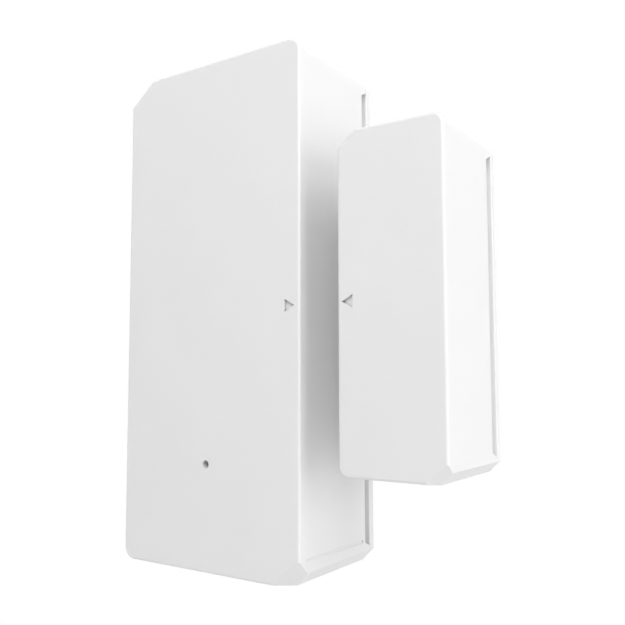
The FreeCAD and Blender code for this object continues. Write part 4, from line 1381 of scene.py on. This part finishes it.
    def back_legend(self) -> None:
        """Print thin white frames round the parts on the board's back."""
        foot, top = self.levels(Side.BACK, self.ink_mm)
        piece = Piece("board_legend")
        line = self.legend_line_mm
        leg = self.legend_corner_mm
        widest = self.legend_half_width_mm
        for node, margin in (("button_body", 0.35), ("reservoir_base", 0.3), ("radio_board", 0.35)):
            low, high = corners(node)
            left, right = low.x / MM - margin, high.x / MM + margin
            bottom, upper = low.z / MM - margin, high.z / MM + margin
            angles = [
                [(left, bottom + leg), (left, bottom), (left + leg, bottom)],
                [(right - leg, bottom), (right, bottom), (right, bottom + leg)],
                [(right, upper - leg), (right, upper), (right - leg, upper)],
                [(left + leg, upper), (left, upper), (left, upper - leg)],
            ]
            for angle in angles:
                kept = [(min(max(x, -widest), widest), max(z, self.legend_lowest_mm)) for x, z in angle]
                piece.ribbon(in_metres(kept), line * MM, foot, top)
        plus_x, plus_z, arm = -10.4, -27.6, 0.5
        bar = [(plus_x - arm, plus_z), (plus_x + arm, plus_z)]
        piece.ribbon(in_metres(bar), line * MM, foot, top)
        for step in (-1, 1):
            upright = [(plus_x, plus_z + step * line / 2 + step * 0.01), (plus_x, plus_z + step * arm)]
            piece.ribbon(in_metres(upright), line * MM, foot, top)
        piece.make(WHITE_INK, self.paint, Body.SENSOR_HOUSING)

    def chip_terminals(self) -> None:
        """Build the plated ends of every chip part."""
        piece = Piece("chip_terminals")
        for node, height in (("chip_capacitors", 0.8), ("chip_resistors", 0.45)):
            foot, top = self.levels(Side.FRONT, height + self.solder_mm)
            for low, high in self.islands(node):
                width = high.x - low.x + 2 * self.solder_mm * MM
                outline = rounded_rectangle(width, self.chip_end_mm * MM, 0.06 * MM, 3)
                for end in (-1, 1):
                    edge = high.z if end > 0 else low.z
                    origin = Vector(((low.x + high.x) / 2, 0, edge - end * 0.13 * MM))
                    piece.slab(outline, foot, top, origin, RIM)
        piece.make(SOLDER, self.paint, Body.SENSOR_HOUSING)

    @staticmethod
    def islands(node: str) -> list[tuple[Vector, Vector]]:
        """Find the box of each separate solid in a CAD node.

        Args:
            node: the node's name.

        Returns:
            Lowest and highest corner of each, from left to right and from the bottom up.
        """
        mesh = bmesh.new()
        mesh.from_mesh(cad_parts[node].data)
        bmesh.ops.remove_doubles(mesh, verts=mesh.verts, dist=1e-6)
        unseen = set(mesh.verts)
        boxes = []
        while unseen:
            stack = [unseen.pop()]
            points = []
            while stack:
                vert = stack.pop()
                points.append(vert.co.copy())
                for edge in vert.link_edges:
                    other = edge.other_vert(vert)
                    if other in unseen:
                        unseen.remove(other)
                        stack.append(other)
            low = Vector([min(p[i] for p in points) for i in range(3)])
            high = Vector([max(p[i] for p in points) for i in range(3)])
            boxes.append((low, high))
        mesh.free()
        return sorted(boxes, key=lambda pair: (round(pair[0].x, 6), round(pair[0].z, 6)))

    def controller_pads(self) -> None:
        """Build the solder fillets round the controller chip."""
        low, high = corners("controller_chip")
        centre = (low + high) / 2
        outwards = (high.x - low.x) / 2 + 0.12 * MM
        foot, top = self.levels(Side.FRONT, 0.1)
        wide, tall = 0.26 * MM, 0.42 * MM
        piece = Piece("controller_solder")
        for index in range(self.chip_pads_per_side):
            offset = (index - (self.chip_pads_per_side - 1) / 2) * self.chip_pad_pitch_mm * MM
            for turn in range(4):
                base = Matrix.Rotation(math.radians(90 * turn), 3, "Y") @ Vector((offset, 0, outwards))
                size = (wide, tall) if turn % 2 == 0 else (tall, wide)
                outline = rounded_rectangle(*size, 0.08 * MM, 2)
                origin = Vector((centre.x + base.x, 0, centre.z + base.z))
                piece.slab(outline, foot, top, origin, RIM)
        piece.make(SOLDER, self.paint, Body.SENSOR_HOUSING)


@dataclass
class PairingButton:
    """The push button's bent solder feet."""

    paint: Paint
    foot_width_mm: float = 0.7
    foot_reach_mm: float = 0.9
    foot_thick_mm: float = 0.22
    foot_spacing_mm: float = 4.5
    toe_mm: float = 0.62
    solder_mm: float = 0.16

    def foot(self, wall: float, side: int, ground: float, z: float) -> list[list[Vector]]:
        """Give the cross-sections of one bent foot.

        Args:
            wall: X of the body's wall.
            side: 1 for the right wall, -1 for the left.
            ground: Y of the board.
            z: the foot's middle.

        Returns:
            Rings of points, from the wall to the toe.
        """
        half = self.foot_width_mm * MM / 2
        half_thick = self.foot_thick_mm * MM / 2
        path = [(0.0, 1.1), (0.28, 1.1), (0.4, 0.98), (0.4, 0.3), (0.5, 0.16), (self.foot_reach_mm, 0.12)]
        rings = []
        for index, here in enumerate(path):
            before = Vector(path[max(index - 1, 0)])
            after = Vector(path[min(index + 1, len(path) - 1)])
            along = (after - before).normalized()
            normal = Vector((-along.y, along.x)) * half_thick
            ring = []
            for part, depth in ((1, -half), (1, half), (-1, half), (-1, -half)):
                point = Vector(here) * MM + normal * part
                ring.append(Vector((wall + side * point.x, ground + point.y, z + depth)))
            rings.append(ring)
        return rings

    def build(self) -> None:
        """Build four gull-wing feet with their solder."""
        low, high = corners("button_body")
        feet = Piece("button_feet")
        solder = Piece("button_solder")
        pad = rounded_rectangle(0.9 * MM, 1.0 * MM, 0.3 * MM, 4)
        for side in (-1, 1):
            wall = low.x if side < 0 else high.x
            for z_side in (-1, 1):
                z = (low.z + high.z) / 2 + z_side * self.foot_spacing_mm * MM / 2
                feet.loft(self.foot(wall, side, low.y, z))
                toe = Vector((wall + side * self.toe_mm * MM, 0, z))
                solder.slab(pad, low.y, low.y + self.solder_mm * MM, toe, 0.14 * MM)
        feet.make(CONTACT, self.paint, Body.SENSOR_HOUSING)
        solder.make(SOLDER, self.paint, Body.SENSOR_HOUSING)


@dataclass
class RadioModule:
    """Solder at the radio module's edges and the dimples of its shield."""

    paint: Paint
    notch_count: int = 8
    notch_pitch_mm: float = 1.3
    first_notch_mm: float = 1.4
    long_side_dimples: int = 5
    short_side_dimples: int = 3

    def build(self) -> None:
        """Build the solder joints and the dimples."""
        low, high = corners("radio_board")
        solder = Piece("module_solder")
        profile = [(0, 0), (0.52, 0), (0.42, 0.12), (0.3, 0.3), (0.24, 0.62), (0.1, 0.74), (0, 0.76)]
        for index in range(self.notch_count):
            x = low.x + (self.first_notch_mm + index * self.notch_pitch_mm) * MM
            for edge in (low.z, high.z):
                solder.lathe(in_metres(profile), Vector((x, low.y, edge)), BACKWARDS, 20)
        solder.make(SOLDER, self.paint, Body.SENSOR_HOUSING, 60.0)
        self.dimples()

    def dimples(self) -> None:
        """Build the pressed dimples along the shield's sides and its pick-up spot."""
        low, high = corners("radio_shield")
        piece = Piece("shield_dimples")
        turned = in_metres([(0, 0), (0.34, 0), (0.3, 0.05), (0.18, 0.1), (0, 0.11)])
        height = (low.y + high.y) / 2
        for index in range(self.long_side_dimples):
            x = low.x + (high.x - low.x) * (index + 0.5) / self.long_side_dimples
            for side in (-1, 1):
                place = Vector((x, height, low.z if side < 0 else high.z))
                piece.lathe(turned, place, Vector((0, 0, side)), 20)
        for index in range(self.short_side_dimples):
            z = low.z + (high.z - low.z) * (index + 0.5) / self.short_side_dimples
            for side in (-1, 1):
                place = Vector((low.x if side < 0 else high.x, height, z))
                piece.lathe(turned, place, Vector((side, 0, 0)), 20)
        spot = [(0, 0), (1.5, 0), (1.42, 0.03), (1.3, 0.03), (1.25, 0.012), (0, 0.012)]
        place = Vector(((low.x + high.x) / 2, high.y, (low.z + high.z) / 2))
        piece.lathe(in_metres(spot), place, BACKWARDS, 40)
        piece.make(SHIELD, self.paint, Body.SENSOR_HOUSING, 30.0)


@dataclass
class ReedSwitch:
    """The glass reed switch on the board's front."""

    paint: Paint

    def build(self) -> None:
        """Dress the glass, the blades and the leads."""
        self.paint.dress_nodes(GLASS, "reed_glass")
        self.paint.dress_nodes(REED, "reed_fixed_blade", "reed_upper_lead", "reed_moving_blade")


# --- cases ------------------------------------------------------------------------------------
@dataclass
class Case:
    """Shell and back cover of one unit, with the moulding marks inside."""

    unit: str
    base_body: Body
    paint: Paint
    pin_radius_mm: float = 1.3
    pin_height_mm: float = 0.06
    pin_side_mm: float = 3.6
    pin_end_mm: float = 5.0

    def build(self) -> None:
        """Dress the case's nodes and build its moulding marks."""
        self.paint.dress_nodes(CASE, self.unit + "_shell", self.unit + "_cover", self.unit + "_cover_hooks")
        self.ejector_marks()

    def ejector_marks(self) -> None:
        """Build the shallow round marks that ejector pins leave inside the cover."""
        low, high = corners(self.unit + "_cover")
        piece = Piece(self.unit + "_cover_pin_marks")
        centre = (low + high) / 2
        inner_y = self.inner_face(high.y)
        half_x = (high.x - low.x) / 2 - self.pin_side_mm * MM
        half_z = (high.z - low.z) / 2 - self.pin_end_mm * MM
        height = self.pin_height_mm
        radius = min(self.pin_radius_mm, half_x / MM * 0.8)
        profile = [(radius * 0.86, 0), (radius, 0), (radius, height * 0.6), (radius * 0.95, height),
                   (radius * 0.9, height), (radius * 0.86, height * 0.6)]
        for side_x in (-1, 1):
            for side_z in (-1, 1):
                place = Vector((centre.x + side_x * half_x, inner_y, centre.z + side_z * half_z))
                piece.lathe(in_metres(profile), place, -BACKWARDS, 36)
        piece.make(CASE, self.paint, self.base_body)

    def inner_face(self, rear: float) -> float:
        """Find the cover plate's inner face.

        Args:
            rear: Y of its rear face.

        Returns:
            Y of the flat face that looks into the case.
        """
        levels: dict[float, float] = {}
        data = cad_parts[self.unit + "_cover"].data
        for polygon in data.polygons:
            if polygon.normal.y < -0.999:
                level = round(polygon.center.y, 5)
                levels[level] = levels.get(level, 0.0) + polygon.area
        return max((area, level) for level, area in levels.items() if level < rear)[1]


@dataclass
class MagnetUnit:
    """The bar magnet and what holds it."""

    paint: Paint
    dot_radius_mm: float = 1.0
    dot_to_end_mm: float = 1.6

    def build(self) -> None:
        """Dress the magnet and build its pole dot and cushion."""
        self.paint.dress_nodes(MAGNET_NICKEL, "bar_magnet")
        low, high = corners("bar_magnet")
        piece = Piece("magnet_pole_dot")
        profile = [(0, 0), (self.dot_radius_mm, 0), (self.dot_radius_mm * 0.93, 0.02), (0, 0.03)]
        place = Vector(((low.x + high.x) / 2, high.y, high.z - self.dot_to_end_mm * MM))
        piece.lathe(in_metres(profile), place, BACKWARDS, 32)
        piece.make(WHITE_INK, self.paint, Body.MAGNET_HOUSING)
        Cushion(self.paint).build()


# --- studio -----------------------------------------------------------------------------------
@dataclass(frozen=True)
class SoftLight:
    """One soft square light. Its place is in metres from the middle of the model."""

    name: str
    place: Point3
    size: float
    watts: float

    def hang(self, aim: Vector) -> None:
        """Hang the light so that it faces a point.

        Args:
            aim: the point.
        """
        data = bpy.data.lights.new(self.name, "AREA")
        data.shape = "SQUARE"
        data.size = self.size
        data.energy = self.watts
        lamp = bpy.data.objects.new(self.name, data)
        lamp.location = aim + Vector(self.place)
        lamp.rotation_euler = (-Vector(self.place)).to_track_quat("-Z", "Y").to_euler()
        bpy.context.scene.collection.objects.link(lamp)


LIGHTS = (
    SoftLight("key_right", (0.5, 0.0, 0.0), 0.34, 0.87),
    SoftLight("fill_front", (0.08, -0.24, 0.26), 0.25, 0.91),
    SoftLight("top_right", (0.36, 0.0, 0.36), 0.3, 0.9),
    SoftLight("rear_soft", (-0.12, 0.6, 0.15), 0.3, 1.0),
)


@dataclass
class Studio:
    """Floor, lights and camera. Lengths are in metres and angles in degrees."""

    floor_drop: float = 0.06
    floor_size: float = 4.0
    floor_grey: float = 0.84
    sky_left: float = 0.29
    sky_right: float = 0.52
    lens_mm: float = 43.13
    sensor_width_mm: float = 36.0
    nearest: float = 0.001
    farthest: float = 10.0
    camera_place: Point3 = (0.06931, -0.095316, -0.009003)
    yaw: float = 34.1925
    pitch: float = 4.8849
    roll: float = -0.1325

    def build(self) -> None:
        """Set up the world, the floor, the lights and the camera."""
        bpy.context.scene.view_settings.view_transform = "Standard"
        self.world()
        self.floor()
        self.lights()
        self.camera()

    def world(self) -> None:
        """Make a white surround that lights softly, a little more from the right than from the left."""
        world = bpy.data.worlds.new("white_surround")
        world.use_nodes = True
        world.node_tree.nodes.clear()
        graph = Graph(world.node_tree)
        place = graph.add("ShaderNodeTexCoord").outputs["Generated"]
        direction = graph.add("ShaderNodeSeparateXYZ", {0: place})
        level = graph.remap(direction.outputs["X"], (-1.0, 1.0), (self.sky_left, self.sky_right))
        light = graph.add("ShaderNodeBackground", {"Color": WHITE, "Strength": level})
        seen = graph.add("ShaderNodeBackground", {"Color": WHITE, "Strength": 1.0})
        mixed = graph.split_rays(light.outputs[0], seen.outputs[0])
        graph.add("ShaderNodeOutputWorld", {"Surface": mixed})
        bpy.context.scene.world = world

    def floor(self) -> None:
        """Lay a wide pale floor under both units."""
        level = CAD_BOX[0][2] - self.floor_drop
        half = self.floor_size / 2
        data = bpy.data.meshes.new("studio_floor")
        points = [(-half, -half, level), (half, -half, level), (half, half, level), (-half, half, level)]
        data.from_pydata(points, [], [(0, 1, 2, 3)])
        made = bpy.data.materials.new("studio_floor")
        made.use_nodes = True
        made.node_tree.nodes.clear()
        graph = Graph(made.node_tree)
        matt = graph.add("ShaderNodeBsdfDiffuse", {"Color": (self.floor_grey,) * 3})
        glow = graph.add("ShaderNodeEmission", {"Color": WHITE, "Strength": 1.0})
        mixed = graph.split_rays(matt.outputs[0], glow.outputs[0])
        graph.add("ShaderNodeOutputMaterial", {"Surface": mixed})
        data.materials.append(made)
        plane = bpy.data.objects.new("studio_floor", data)
        bpy.context.scene.collection.objects.link(plane)

    def lights(self) -> None:
        """Hang the soft lights round the middle of the model."""
        low, high = (Vector(corner) for corner in CAD_BOX)
        for light in LIGHTS:
            light.hang((low + high) / 2)

    def camera(self) -> None:
        """Set up the camera."""
        data = bpy.data.cameras.new("studio_camera")
        data.lens = self.lens_mm
        data.sensor_width = self.sensor_width_mm
        data.clip_start = self.nearest
        data.clip_end = self.farthest
        camera = bpy.data.objects.new("studio_camera", data)
        turn = Matrix.Rotation(math.radians(self.yaw), 4, "Z")
        turn = turn @ Matrix.Rotation(math.radians(90 + self.pitch), 4, "X")
        turn = turn @ Matrix.Rotation(math.radians(self.roll), 4, "Z")
        camera.matrix_world = Matrix.Translation(self.camera_place) @ turn
        bpy.context.scene.collection.objects.link(camera)
        bpy.context.scene.camera = camera


def main() -> None:
    """Build every sub-assembly in order."""
    logging.basicConfig(level=logging.INFO, format="%(name)s: %(message)s")
    paint = Paint()
    Studio().build()
    Case("sensor", Body.SENSOR_BASE, paint).build()
    Case("magnet", Body.MAGNET_BASE, paint).build()
    AdhesivePad("sensor_adhesive_pad", "sensor", Body.SENSOR_BASE, paint).build()
    AdhesivePad("magnet_adhesive_pad", "magnet", Body.MAGNET_BASE, paint).build()
    MagnetUnit(paint).build()
    CircuitBoard(paint).build()
    PairingButton(paint).build()
    RadioModule(paint).build()
    ReedSwitch(paint).build()
    BatteryBay(paint).build()


if __name__ == "__main__":
    main()
